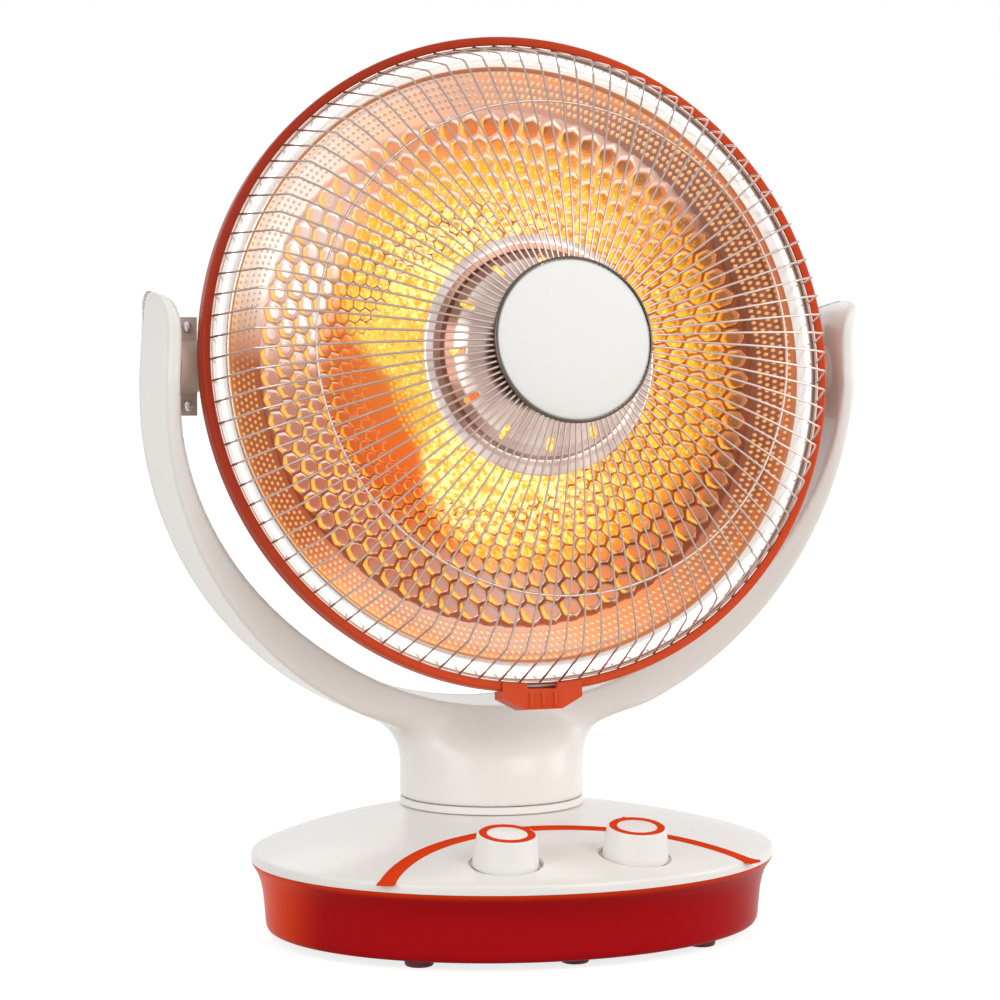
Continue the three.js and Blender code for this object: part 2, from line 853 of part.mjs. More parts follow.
function bandStations() {
  const half = [];
  tipShares.forEach((tip) => {
    const depth = armFront + armRear;
    half.push({
      across: armInner + tipFlare * tip.flare + armThickness * (1 - tip.thick),
      height: yokeCentreHeight + armTop * tip.height,
      outward: [1, 0],
      thickness: armThickness * tip.thick,
      front: armFront - depth * tip.front,
      rear: -armRear + depth * tip.rear,
    });
  });
  for (let i = 0; i <= bandSteps; i += 1) {
    const angle = (Math.PI / 2) * (i / bandSteps);
    const outward = [Math.cos(angle), -Math.sin(angle)];
    const thickness = lerp(armThickness, bandThickness, THREE.MathUtils.smoothstep(angle, 0, thickeningAngle));
    const inner = yokeRadius - thickness;
    half.push({
      across: inner * outward[0],
      height: yokeCentreHeight + inner * outward[1],
      outward,
      thickness,
      front: lerp(armFront, bandFront, Math.sin(angle)),
      rear: lerp(-armRear, -bandRear, Math.sin(angle)),
    });
  }
  const mirrored = half.slice(0, -1).reverse().map((s) => ({
    ...s,
    across: -s.across,
    outward: [-s.outward[0], s.outward[1]],
  }));
  return [...half, ...mirrored];
}

// One loop round the band's section: along the thickness first, then along the depth.
function bandLoop(station, front, rear, frontRound, rearRound, innerRound) {
  const { across, height, outward, thickness } = station;
  const point = (t, depth) => new THREE.Vector3(across + outward[0] * t, -depth, height + outward[1] * t);
  const f = Math.min(frontRound, thickness / 2.4);
  const r = Math.min(rearRound, thickness / 2.4);
  const q = Math.min(innerRound, thickness / 2.4);
  return [
    point(0, front - q),
    point(q, front),
    point(thickness - f, front),
    point(thickness, front - f),
    point(thickness, rear + r),
    point(thickness - r, rear),
    point(q, rear),
    point(0, rear + q),
  ];
}

const stations = bandStations();
const seamRound = seatGap;
const frameLoops = stations.map((s) => {
  const seam = s.rear + rearCoverDepth + seatGap;
  return bandLoop(s, s.front, seam, bandRound, seamRound, bandInnerRound);
});
const coverLoops = stations.map((s) => {
  const seam = s.rear + rearCoverDepth;
  return bandLoop(s, seam, s.rear, seamRound, bandRound, seamRound);
});

// A flat pad inside each arm carries the tilt bearing.
const padRoot = armInner + armThickness / 3;

function pivotPad(side) {
  const [x0, x1] = side < 0 ? [-padRoot, -padInner] : [padInner, padRoot];
  const round = acrossX(disc(clampRadius, x0, x1, knobSegments));
  const ears = block(x0, x1, -clampEarDepth, clampEarDepth, -clampEarHeight, clampEarHeight);
  return join(round, ears).translate(0, -pivotForward, pivotHeight);
}

const yokeFrame = join(loft(frameLoops, false), neckSolid(0), pivotPad(-1), pivotPad(1));
addPiece(column, 'yoke_frame', yokeFrame, whitePlastic);
addPiece(column, 'yoke_rear_cover', cut(loft(coverLoops, false), neckSolid(runningGap)), whitePlastic);

// Tilt pivots: each trunnion turns in a bearing block, closed at the front by a screwed cap.

const bearingBore = trunnionRadius + seatGap;

// Half of a bearing: a half round housing with an ear above and below.
function bearingHalf(side, forward) {
  const [x0, x1] = side < 0 ? [-blockOuter, -blockInner] : [blockInner, blockOuter];
  const housing = acrossX(disc(clampRadius, x0, x1, knobSegments));
  const ears = block(x0, x1, -clampEarDepth, clampEarDepth, -clampEarHeight, clampEarHeight);
  const bore = acrossX(disc(bearingBore, x0 - cutOverrun, x1 + cutOverrun));
  const far = 2 * clampEarHeight;
  const [y0, y1] = forward > 0 ? [-seatGap / 2, far] : [-far, seatGap / 2];
  const otherHalf = block(x0 - cutOverrun, x1 + cutOverrun, y0, y1, -far, far);
  return cut(join(housing, ears), bore, otherHalf);
}

const pivots = new THREE.Group();
pivots.position.set(0, -pivotForward, pivotHeight);
column.add(pivots);

['left', 'right'].forEach((name) => {
  const side = name === 'left' ? -1 : 1;
  addPiece(pivots, `bearing_block_${name}`, bearingHalf(side, -1), bracketPlastic);
  addPiece(pivots, `bearing_cap_${name}`, bearingHalf(side, 1), bracketPlastic);
  ['upper', 'lower'].forEach((level) => {
    const z = level === 'upper' ? clampScrewHeight : -clampScrewHeight;
    const screw = facing([
      [0, clampEarDepth + seatGap],
      [clampScrewRadius, clampEarDepth + seatGap],
      [clampScrewRadius, clampEarDepth + seatGap + clampScrewHead / 2],
      [clampScrewRadius / 2, clampEarDepth + seatGap + clampScrewHead],
      [0, clampEarDepth + seatGap + clampScrewHead],
    ], screwSegments);
    const x = side * (blockInner + blockOuter) / 2;
    addPiece(pivots, `clamp_screw_${name}_${level}`, screw.translate(x, 0, z), steel);
  });
});

// Head, placed about the tilt axis and tipped back

const head = new THREE.Group();
head.rotation.x = -headTilt;
pivots.add(head);

// Hoop: a channel that clamps the grille, the reflector and the rear shell together.
const hoopProfile = [
  [hoopRadius - hoopFace, hoopFront - hoopRound / 2],
  [hoopRadius - hoopRound, hoopFront],
  [hoopRadius, hoopFront - hoopRound],
  [hoopRadius, hoopBack],
  [hoopRadius - hoopRearFace, hoopBack],
  [hoopRadius - hoopRearFace, hoopBack + hoopRearLip],
  [hoopRadius - hoopWall, hoopBack + hoopRearLip],
  [hoopRadius - hoopWall, hoopFront - hoopLip],
  [hoopRadius - hoopFace, hoopFront - hoopLip],
];
const clipFront = hoopFront + seatGap + clipFace;
const hoopMouth = hoopRadius - hoopFace;
const hoopNotch = block(
  -hoopNotchHalfWidth,
  hoopNotchHalfWidth,
  -clipFront - clipFace,
  -hoopFront + hoopLip + clipFace,
  -hoopMouth - hoopNotchDepth,
  -hoopMouth + hoopNotchDepth,
);
addPiece(head, 'hoop', cut(facing(hoopProfile, headSegments), hoopNotch), orangePlastic);

// Hoop clip: the block that draws the hoop's two ends together, with a lip over their faces.
const clipInner = hoopRadius + seatGap;
const clipShoulderZ = -Math.sqrt(clipInner ** 2 - clipHalfWidth ** 2) - clipShoulder;
const clipSteps = 8;

function clipPlate(inner, bottom, top) {
  const shape = new THREE.Shape();
  const span = Math.asin(clipHalfWidth / inner);
  shape.moveTo(clipHalfWidth, clipShoulderZ);
  for (let i = 0; i <= clipSteps; i += 1) {
    const angle = lerp(span, -span, i / clipSteps);
    shape.lineTo(inner * Math.sin(angle), -inner * Math.cos(angle));
  }
  shape.lineTo(-clipHalfWidth, clipShoulderZ);
  shape.lineTo(-clipToeHalfWidth, -clipInner - clipDrop);
  shape.lineTo(clipToeHalfWidth, -clipInner - clipDrop);
  return plate(shape, bottom, top).rotateX(Math.PI / 2).translate(0, -hoopFront, 0);
}

const clipBlock = clipPlate(clipInner, -clipDepth, clipFront - hoopFront);
const clipLip = clipPlate(hoopMouth, seatGap, clipFront - hoopFront);
const clipRibs = [-1, 0, 1].map((k) => block(
  k * clipRibPitch - clipRibWidth / 2,
  k * clipRibPitch + clipRibWidth / 2,
  -clipFront - clipRibHeight,
  -clipFront + clipRibHeight,
  -clipInner - clipDrop + clipRibHeight,
  -clipInner,
));
const clipBody = cut(join(clipBlock, clipLip, ...clipRibs), hoopNotch);
addPiece(head, 'hoop_clip', clipBody, orangePlastic);
const clipScrew = disc(clipScrewRadius, 0, clipScrewLength, screwSegments);
clipScrew.rotateX(-Math.PI / 2);
clipScrew.translate(0, -hoopFront + clipDepth + seatGap, -clipInner - clipDrop / 2);
addPiece(head, 'clip_screw', clipScrew, steel);

// Rear shell: a moulded bowl with vents at the back and a trunnion on each side.
const shellFlangeFront = hoopBack + hoopRearLip + seatGap + flangeThickness;
const shellFlangeRadius = (hoopRadius - hoopWall) * Math.cos(Math.PI / headSegments) - seatGap;
const shellShares = [
  [0.05, 0.02],
  [0.36, 0.14],
  [0.7, 0.46],
  [0.95, 0.85],
  [1, 1],
];
const shellOuter = shellShares.map(([depthShare, inShare]) => [
  lerp(shellRimRadius, shellBackRadius, inShare),
  lerp(shellFlangeFront - flangeThickness, shellBack, depthShare),
]);
const shellInner = shellShares.slice().reverse().map(([depthShare, inShare]) => [
  lerp(shellRimRadius, shellBackRadius, inShare) - shellWall,
  lerp(shellFlangeFront - flangeThickness, shellBack + shellWall, depthShare),
]);
const shellProfile = [
  [0, shellBack + shellWall],
  ...shellInner,
  [shellRimRadius - shellWall, shellFlangeFront],
  [shellFlangeRadius, shellFlangeFront],
  [shellFlangeRadius, shellFlangeFront - flangeThickness],
  [shellRimRadius, shellFlangeFront - flangeThickness],
  ...shellOuter,
  [0, shellBack],
];
const shellBlank = facing(shellProfile, headSegments);

function trunnion(side) {
  const boss = turned([
    [0, trunnionBossEnd - trunnionBossLength],
    [trunnionBossRadius, trunnionBossEnd - trunnionBossLength],
    [trunnionBossRadius, trunnionBossEnd],
    [trunnionRadius, trunnionBossEnd],
    [trunnionRadius, blockOuter - seatGap],
    [0, blockOuter - seatGap],
  ]);
  return boss.rotateZ(-side * Math.PI / 2);
}

const vents = [];
for (let i = 0; i < ventCount; i += 1) {
  const slot = block(ventInner, shellBackRadius - ventMargin, -shellWall * 2, shellWall * 2, -ventWidth / 2, ventWidth / 2);
  vents.push(slot.rotateY((2 * Math.PI * (i + 1 / 2)) / ventCount).translate(0, -shellBack, 0));
}
const shellBody = cut(join(shellBlank, trunnion(-1), trunnion(1)), ...vents);
addPiece(head, 'rear_shell', shellBody, whitePlastic);

// Reflector: a pressed dish with a rolled bead and rows of six-sided facets.

const facetColumns = 2 * honeycombCells;

function dishLoop(radius, s, columns = facetColumns) {
  const loop = [];
  for (let i = 0; i < columns; i += 1) {
    const angle = (2 * Math.PI * i) / columns;
    loop.push(new THREE.Vector3(radius * Math.cos(angle), -s, radius * Math.sin(angle)));
  }
  return loop;
}

// A border between two rows of facets zigzags about its radius.
function zigzagLoop(radius, swing, odd) {
  const loop = [];
  for (let i = 0; i < facetColumns; i += 1) {
    const angle = (2 * Math.PI * i) / facetColumns;
    const r = radius + ((i + odd) % 2 === 0 ? swing : -swing);
    loop.push(new THREE.Vector3(r * Math.cos(angle), -dishS(r), r * Math.sin(angle)));
  }
  return loop;
}

function reflectorGeometry() {
  const vertices = [];
  const index = [];
  const addLoop = (loop) => {
    const start = vertices.length;
    vertices.push(...loop);
    return start;
  };
  const strip = (a, b, columns = facetColumns) => {
    for (let j = 0; j < columns; j += 1) {
      const m = (j + 1) % columns;
      index.push(a + j, a + m, b + m, a + j, b + m, b + j);
    }
  };
  // Joins a front loop to a back loop that has half as many points.
  const halve = (fine, coarse, outward) => {
    for (let j = 0; j < honeycombCells; j += 1) {
      const [f0, f1, f2] = [0, 1, 2].map((k) => fine + ((2 * j + k) % facetColumns));
      const [c0, c1] = [coarse + j, coarse + ((j + 1) % honeycombCells)];
      const fan = [[f0, f1, c0], [f1, f2, c1], [f1, c1, c0]];
      fan.forEach(([p, q, r]) => (outward ? index.push(p, q, r) : index.push(q, p, r)));
    }
  };
  const flangeS = shellFlangeFront + seatGap;
  const outerRadius = shellFlangeRadius;
  const frontRings = [
    [outerRadius, flangeS + flangeThickness / 2],
    [beadOuterRadius, hoopFront - beadDrop - flangeThickness / 2],
    [beadCrownRadius, hoopFront - beadDrop],
    [dishRadius, dishRimS],
    [dimpleInnerRadius, dishS(dimpleInnerRadius)],
  ];
  let previous = -1;
  const firstRing = vertices.length;
  frontRings.forEach(([r, s]) => {
    const start = addLoop(dishLoop(r, s));
    if (previous >= 0) {
      strip(previous, start);
    }
    previous = start;
  });
  const pitch = (honeycombOuter - honeycombInner) / honeycombRows;
  const swing = pitch / 6;
  let border = addLoop(zigzagLoop(honeycombOuter, swing, 1));
  strip(previous, border);
  for (let row = 0; row < honeycombRows; row += 1) {
    const next = addLoop(zigzagLoop(honeycombOuter - pitch * (row + 1), swing, row));
    const middle = honeycombOuter - pitch * (row + 1 / 2);
    for (let cell = 0; cell < honeycombCells; cell += 1) {
      const j = 2 * cell + (row % 2 === 0 ? 1 : 0);
      const angle = (2 * Math.PI * j) / facetColumns;
      const s = dishS(middle) + honeycombBulge;
      const hub = vertices.length;
      vertices.push(new THREE.Vector3(middle * Math.cos(angle), -s, middle * Math.sin(angle)));
      const before = (j + facetColumns - 1) % facetColumns;
      const after = (j + 1) % facetColumns;
      const rim = [border + before, border + j, border + after, next + after, next + j, next + before];
      rim.forEach((v, k) => index.push(hub, v, rim[(k + 1) % rim.length]));
    }
    border = next;
  }
  previous = border;
  [(honeycombInner + dishHoleRadius) / 2, dishHoleRadius].forEach((r) => {
    const start = addLoop(dishLoop(r, dishS(r)));
    strip(previous, start);
    previous = start;
  });
  const backRings = [
    ...[0, 0.2, 0.4, 0.6, 0.8].map((share) => {
      const r = lerp(dishHoleRadius, dishRadius, share);
      return [r, dishS(r) - dishWall];
    }),
    [dishRadius, dishRimS - dishWall],
    [beadCrownRadius, hoopFront - beadDrop - dishWall - flangeThickness],
    [beadOuterRadius, flangeS],
    [outerRadius, flangeS],
  ];
  backRings.forEach(([r, s], i) => {
    const start = addLoop(dishLoop(r, s, honeycombCells));
    if (i === 0) {
      halve(previous, start, true);
    } else {
      strip(previous, start, honeycombCells);
    }
    previous = start;
  });
  halve(firstRing, previous, false);
  const geometry = new THREE.BufferGeometry().setFromPoints(vertices);
  geometry.setIndex(index);
  return clean(geometry);
}

addPiece(head, 'reflector', reflectorGeometry(), mirrorMetal);

// Heating element: a ceramic base and core on a steel stud, with the coil wound round the core.

const studBore = studRadius + seatGap;
const elementBase = facing([
  [studBore, elementBack],
  [elementFlangeRadius, elementBack],
  [elementFlangeRadius, elementBack + elementFlangeThickness / 2],
  [dishHoleRadius - runningGap, dishVertex - seatGap],
  [dishHoleRadius - runningGap, elementSeat],
  [studBore, elementSeat],
]);
addPiece(head, 'element_base', elementBase, ceramic);
const coreBottom = elementSeat + seatGap;
const ceramicCore = facing([
  [studBore, coreBottom],
  [coreBaseRadius, coreBottom],
  [coreTopRadius, coreTop],
  [studBore, coreTop],
]);
addPiece(head, 'ceramic_core', ceramicCore, ceramic);

const studTop = hoopFront + shieldFaceForward + seatGap + nutHeight;
const studProfile = [
  [0, elementBack - studTail],
  [studRadius, elementBack - studTail],
  [studRadius, studTop],
  [0, studTop],
];
addPiece(head, 'core_stud', facing(studProfile, screwSegments), steel);
const nutBottom = hoopFront + shieldFaceForward + seatGap;
const nutBore = studBore / Math.cos(Math.PI / nutSides);
const nutProfile = [[nutBore, nutBottom], [nutRadius, nutBottom], [nutRadius, studTop], [nutBore, studTop]];
addPiece(head, 'stud_nut', facing(nutProfile, nutSides), steel);
const spacerProfile = [
  [studBore, coreTop + seatGap],
  [nutRadius, coreTop + seatGap],
  [nutRadius, shieldBack - seatGap],
  [studBore, shieldBack - seatGap],
];
addPiece(head, 'stud_spacer', facing(spacerProfile, screwSegments), steel);

// The coil's points follow a helix that tapers with the core.
const coilSteps = coilTurns * coilStepsPerTurn;

function coilPoint(step) {
  const share = step / coilSteps;
  const angle = (2 * Math.PI * step) / coilStepsPerTurn;
  const s = lerp(coreBottom + coilStartInset, coreTop - coilEndInset, share);
  const coreShare = (s - coreBottom) / (coreTop - coreBottom);
  const clear = lerp(coreBaseRadius, coreTopRadius, coreShare) + coilTubeRadius + seatGap;
  const radius = clear / Math.cos(Math.PI / coilStepsPerTurn);
  return new THREE.Vector3(radius * Math.cos(angle), -s, radius * Math.sin(angle));
}

function coilGeometry() {
  const loops = [];
  for (let i = 0; i <= coilSteps; i += 1) {
    const centre = coilPoint(i);
    const ahead = coilPoint(i + 1).sub(coilPoint(i - 1)).normalize();
    const out = new THREE.Vector3(centre.x, 0, centre.z).normalize();
    const side = new THREE.Vector3().crossVectors(ahead, out).normalize();
    const rim = new THREE.Vector3().crossVectors(side, ahead).normalize();
    const loop = [];
    for (let k = 0; k < coilSides; k += 1) {
      const turn = (2 * Math.PI * k) / coilSides;
      const p = centre.clone();
      p.addScaledVector(rim, coilTubeRadius * Math.cos(turn));
      p.addScaledVector(side, coilTubeRadius * Math.sin(turn));
      loop.push(p);
    }
    loops.push(loop);
  }
  return loft(loops, false);
}

function leastCoilGap() {
  let least = Infinity;
  for (let i = 0; i <= coilSteps; i += 1) {
    for (let j = i + coilStepsPerTurn / 2; j <= coilSteps; j += 1) {
      least = Math.min(least, coilPoint(i).distanceTo(coilPoint(j)) - 2 * coilTubeRadius);
    }
  }
  return least;
}

addPiece(head, 'heating_coil', coilGeometry(), hotWire);
console.log(`heating coil, least gap to itself: ${leastCoilGap().toFixed(2)} mm`);

const cutout = facing([
  [0, elementBack - seatGap - cutoutHeight],
  [cutoutRadius, elementBack - seatGap - cutoutHeight],
  [cutoutRadius, elementBack - seatGap],
  [0, elementBack - seatGap],
]).translate(cutoutReach, 0, 0);
addPiece(head, 'thermal_cutout', cutout, steel);
const headTerminal = block(
  -headTerminalLength / 2,
  headTerminalLength / 2,
  -headTerminalBack - headTerminalHeight,
  -headTerminalBack,
  -headTerminalWidth / 2,
  headTerminalWidth / 2,
);
addPiece(head, 'head_terminal_block', headTerminal, ceramic);

// Front shield: a polished cap over the element, with a slot at each facet for the glow.

const atShield = (r, forward) => [r, hoopFront + forward];
const shieldProfile = [
  atShield(studBore, shieldFaceForward),
  atShield(shieldFaceRadius, shieldFaceForward),
  atShield(shieldShoulderRadius, shieldShoulderForward),
  atShield(shieldStepRadius, shieldStepForward),
  atShield(shieldRingInner, shieldRingForward),
  atShield(shieldRadius - shieldRimRoll, shieldRingForward - shieldWall / 2),
  atShield(shieldRadius, shieldRimForward + shieldRimRoll),
  atShield(shieldRadius - shieldRimRoll, shieldRimForward),
  atShield(shieldRingInner - shieldWall, shieldRingForward - shieldWall),
  atShield(shieldShoulderRadius - shieldWall / 2, shieldShoulderForward - shieldWall),
  atShield(shieldFaceRadius, shieldFaceForward - shieldWall),
  atShield(studBore, shieldFaceForward - shieldWall),
];
const slotRadius = (shieldStepRadius + shieldShoulderRadius) / 2;
const slotForward = (shieldStepForward + shieldShoulderForward) / 2;
const slotLean = Math.atan2(shieldShoulderForward - shieldStepForward, shieldStepRadius - shieldShoulderRadius);
const slots = [];
for (let i = 0; i < slotCount; i += 1) {
  const slot = block(-slotLength / 2, slotLength / 2, -cutOverrun * 2, cutOverrun * 2, -slotWidth / 2, slotWidth / 2);
  slot.rotateZ(slotLean).translate(slotRadius, -hoopFront - slotForward, 0);
  slots.push(slot.rotateY((2 * Math.PI * i) / slotCount));
}
addPiece(head, 'front_shield', cut(facing(shieldProfile, shieldSegments), ...slots), chrome);

// Wire grille: radial wires and three rings welded into one piece.
// Each wire is three-sided, and at a ring its two flanks open into the ring's bars.

const domeCentre = grilleKinkForward - Math.sqrt(grilleDomeRadius ** 2 - grilleKinkRadius ** 2);
const domeForward = (r) => domeCentre + Math.sqrt(grilleDomeRadius ** 2 - r ** 2);
const wireBack = wireRadius / 2;

function wireStations() {
  const ringHalf = wireRadius;
  const onDome = (r) => [r, domeForward(r)];
  return [
    { at: onDome(grilleHubRadius - ringHalf), ring: true },
    { at: onDome(grilleHubRadius + ringHalf), ring: false },
    { at: onDome(grilleMidRadius - ringHalf), ring: true },
    { at: onDome(grilleMidRadius + ringHalf), ring: false },
    { at: onDome(grilleKinkRadius), ring: false },
    { at: [grilleRimRadius - grilleRimWidth, grilleRimRise - grilleRimDrop], ring: true },
    { at: [grilleRimRadius, -grilleRimDrop], ring: false },
  ];
}

function grilleGeometry() {
  const path = wireStations();
  const count = path.length;
  const vertices = [];
  const index = [];
  const quad = (a, b, c, d) => index.push(a, b, c, a, c, d);
  // A wire's corners at each station: crown, left foot, right foot.
  const corner = (wire, station, k) => ((wire % wireCount) * count + station) * 3 + k;
  for (let wire = 0; wire < wireCount; wire += 1) {
    const angle = (2 * Math.PI * wire) / wireCount;
    const out = new THREE.Vector3(Math.cos(angle), 0, Math.sin(angle));
    const left = new THREE.Vector3(-Math.sin(angle), 0, Math.cos(angle));
    path.forEach(({ at }, i) => {
      const before = path[Math.max(i - 1, 0)].at;
      const after = path[Math.min(i + 1, count - 1)].at;
      const run = [after[0] - before[0], after[1] - before[1]];
      const length = Math.hypot(run[0], run[1]);
      const normal = out.clone().multiplyScalar(-run[1] / length);
      normal.y = -run[0] / length;
      const centre = out.clone().multiplyScalar(at[0]);
      centre.y = -hoopFront - at[1];
      vertices.push(centre.clone().addScaledVector(normal, wireRadius));
      const foot = centre.clone().addScaledVector(normal, -wireBack);
      vertices.push(foot.clone().addScaledVector(left, wireRadius));
      vertices.push(foot.clone().addScaledVector(left, -wireRadius));
    });
  }
  for (let wire = 0; wire < wireCount; wire += 1) {
    index.push(corner(wire, 0, 0), corner(wire, 0, 2), corner(wire, 0, 1));
    index.push(corner(wire, count - 1, 0), corner(wire, count - 1, 1), corner(wire, count - 1, 2));
    for (let i = 0; i < count - 1; i += 1) {
      const at = (k, next) => corner(wire, i + next, k);
      quad(at(1, 0), at(2, 0), at(2, 1), at(1, 1));
      if (!path[i].ring) {
        quad(at(0, 0), at(1, 0), at(1, 1), at(0, 1));
        quad(at(2, 0), at(0, 0), at(0, 1), at(2, 1));
        continue;
      }
      const here = [at(0, 0), at(1, 0), at(1, 1), at(0, 1)];
      const there = [
        corner(wire + 1, i, 0),
        corner(wire + 1, i, 2),
        corner(wire + 1, i + 1, 2),
        corner(wire + 1, i + 1, 0),
      ];
      here.forEach((v, k) => {
        const m = (k + 1) % here.length;
        quad(v, here[m], there[m], there[k]);
      });
    }
  }
  const geometry = new THREE.BufferGeometry().setFromPoints(vertices);
  geometry.setIndex(index);
  return clean(geometry);
}

addPiece(head, 'wire_grille', grilleGeometry(), brightWire);

// Grille cap: a domed disc with a bright ring, held through the grille's open hub by a retainer.

const capS = hoopFront + domeForward(capRadius - capWall) + wireRadius + seatGap;
const capDomeShares = [0.6, 0.66];
const capProfile = [
  [0, capS + capEdge + capDome],
  [capRadius * capDomeShares[0], capS + capEdge + capDome * capDomeShares[1]],
  [capRadius - capEdge / 2, capS + capEdge - capEdge / 4],
  [capRadius, capS + capEdge / 2],
  [capRadius, capS],
  [capRadius - capWall, capS],
  [capRadius - capWall, capS + capEdge - capWall / 2],
  [0, capS + capEdge - capWall / 2],
];
addPiece(head, 'grille_cap', facing(capProfile, shieldSegments), whitePlastic);
const capRingInner = capRadius + seatGap;
const capRingProfile = [
  [capRingInner, capS],
  [capRingInner + capRingWidth, capS],
  [capRingInner + capRingWidth, capS + capRingHeight / 2],
  [capRingInner, capS + capRingHeight],
];
addPiece(head, 'cap_ring', facing(capRingProfile, shieldSegments), chrome);
const retainerFront = hoopFront + domeForward(retainerRadius) - wireBack - seatGap;
const retainerProfile = [
  [0, retainerFront - retainerThickness],
  [retainerRadius, retainerFront - retainerThickness],
  [retainerRadius, retainerFront],
  [retainerBossRadius, retainerFront],
  [retainerBossRadius, capS + capEdge - capWall / 2 - seatGap],
  [0, capS + capEdge - capWall / 2 - seatGap],
];
addPiece(head, 'cap_retainer', facing(retainerProfile), blackPlastic);

// Knobs: each has a pointer ring in its top and a shaft that drops to its switch.

const knobProfile = [
  [0, knobHeight / 2 + seatGap],
  [shaftRadius + seatGap, knobHeight / 2 + seatGap],
  [shaftRadius + seatGap, -knobSink],
  [knobBottomRadius, -knobSink],
  [knobTopRadius, knobHeight - knobEdgeRound],
  [knobTopRadius - knobEdgeRound, knobHeight],
  [knobRingOuter + seatGap, knobHeight],
  [knobRingOuter + seatGap, knobHeight - knobRingDepth - seatGap],
  [knobRingInner - seatGap, knobHeight - knobRingDepth - seatGap],
  [knobRingInner - seatGap, knobHeight],
  [0, knobHeight],
];

function knobRing(pointer) {
  const shape = new THREE.Shape();
  const nibSpan = Math.asin(knobNibHalfWidth / knobRingOuter);
  shape.absarc(0, 0, knobRingOuter - knobNibLength / 2, pointer + nibSpan, pointer - nibSpan + 2 * Math.PI);
  const tip = knobRingOuter;
  shape.lineTo(tip * Math.cos(pointer), tip * Math.sin(pointer));
  const hole = new THREE.Path();
  hole.absarc(0, 0, knobRingInner, 0, 2 * Math.PI, true);
  shape.holes.push(hole);
  return plate(shape, knobHeight - knobRingDepth, knobHeight + knobRingProud, knobSegments / 2);
}

const knobs = [
  { name: 'heat', side: -1, pointer: heatKnobAngle },
  { name: 'timer', side: 1, pointer: timerKnobAngle },
];
const switchTop = -wellFloor - wellWall - seatGap;
knobs.forEach(({ name, side, pointer }) => {
  addPiece(heater, `${name}_knob`, atKnob(upright(knobProfile, knobSegments), side), whitePlastic);
  addPiece(heater, `${name}_knob_ring`, atKnob(knobRing(pointer), side), orangePlastic);
  addPiece(heater, `${name}_shaft`, atKnob(disc(shaftRadius, switchTop + seatGap, knobHeight / 2, smallSegments / 2), side), steel);
});
const half = switchWidth / 2;
const heatSwitch = block(-half, half, -half, half, switchTop - switchHeight, switchTop);
addPiece(heater, 'heat_switch', atKnob(heatSwitch, -1), blackPlastic);
addPiece(heater, 'timer_movement', atKnob(disc(timerRadius, switchTop - timerHeight, switchTop), 1), steel);

export default heater;
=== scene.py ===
import bpy
import math
from mathutils import Matrix, Vector


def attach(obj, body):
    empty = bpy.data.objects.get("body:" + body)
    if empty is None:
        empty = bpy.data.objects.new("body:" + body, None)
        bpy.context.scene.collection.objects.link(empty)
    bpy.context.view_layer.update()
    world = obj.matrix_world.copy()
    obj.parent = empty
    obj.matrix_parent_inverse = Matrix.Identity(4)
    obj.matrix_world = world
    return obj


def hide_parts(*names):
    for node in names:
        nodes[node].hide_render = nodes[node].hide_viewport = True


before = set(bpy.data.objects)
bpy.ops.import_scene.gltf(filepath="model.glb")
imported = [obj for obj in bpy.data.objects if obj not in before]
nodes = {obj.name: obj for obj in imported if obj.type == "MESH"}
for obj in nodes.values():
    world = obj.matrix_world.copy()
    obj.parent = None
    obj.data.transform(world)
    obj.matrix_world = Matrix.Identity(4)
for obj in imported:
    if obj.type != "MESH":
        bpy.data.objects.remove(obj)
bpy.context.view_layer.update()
scene = bpy.context.scene

# Studio: a level camera at table height looks slightly from the heater's right, through a long lens.
# Four soft lamps and a pale room light the heater evenly, and the floor runs out to white.
scene.view_settings.view_transform = 'Standard'
bpy.ops.object.select_all(action='DESELECT')
bpy.ops.object.camera_add(location=(-0.5229, -1.5089, 0.3225), rotation=(math.radians(87.9), 0, math.radians(-18.81)))
camera = bpy.context.object
camera.name = "studio_camera"
camera.data.lens = 93.6
camera.data.sensor_width = 36
scene.camera = camera


def soft_lamp(name, place, aim, size, power, colour):
    bpy.ops.object.light_add(type='AREA', location=place)
    lamp = bpy.context.object
    lamp.name = name
    lamp.rotation_euler = (Vector(aim) - Vector(place)).to_track_quat('-Z', 'Y').to_euler()
    lamp.data.shape = 'RECTANGLE'
    lamp.data.size = size
    lamp.data.size_y = size * 1.4
    lamp.data.energy = power
    lamp.data.color = colour


soft_lamp("key_lamp", (0.9, -2.2, 1.2), (0, 0, 0.2), 1.2, 19, (1.0, 0.98, 0.95))
soft_lamp("side_lamp", (2.2, -0.7, 0.5), (0, 0, 0.2), 1.0, 14, (1.0, 0.98, 0.95))
soft_lamp("fill_lamp", (-2.0, -1.2, 0.8), (0, 0, 0.25), 1.2, 17, (1.0, 0.99, 0.97))
soft_lamp("rim_lamp", (0.3, 1.7, 1.6), (0, 0, 0.35), 1.2, 6, (1.0, 1.0, 1.0))


def begin(node_tree):
    """Makes a node tree the one at hand, which the calls below add to."""
    global tree, link
    tree, link = node_tree.nodes, node_tree.links


def put(socket, value):
    """Feeds a socket: a node's output is linked, and a plain number or colour is set."""
    if isinstance(value, bpy.types.NodeSocket):
        link.new(value, socket)
    else:
        socket.default_value = (*value, 1) if socket.type == 'RGBA' else value


def node(kind, settings=(), **sockets):
    """A node in the tree at hand, with its settings and what feeds its sockets."""
    new = tree.new("ShaderNode" + kind)
    for name, value in dict(settings).items():
        setattr(new, name, value)
    for name, value in sockets.items():
        put(new.inputs[name.replace("_", " ")], value)
    return new


def maths(operation, *values):
    new = node("Math", {"operation": operation})
    for socket, value in zip(new.inputs, values):
        put(socket, value)
    return new.outputs[0]


def times(a, b):
    return maths('MULTIPLY', a, b)


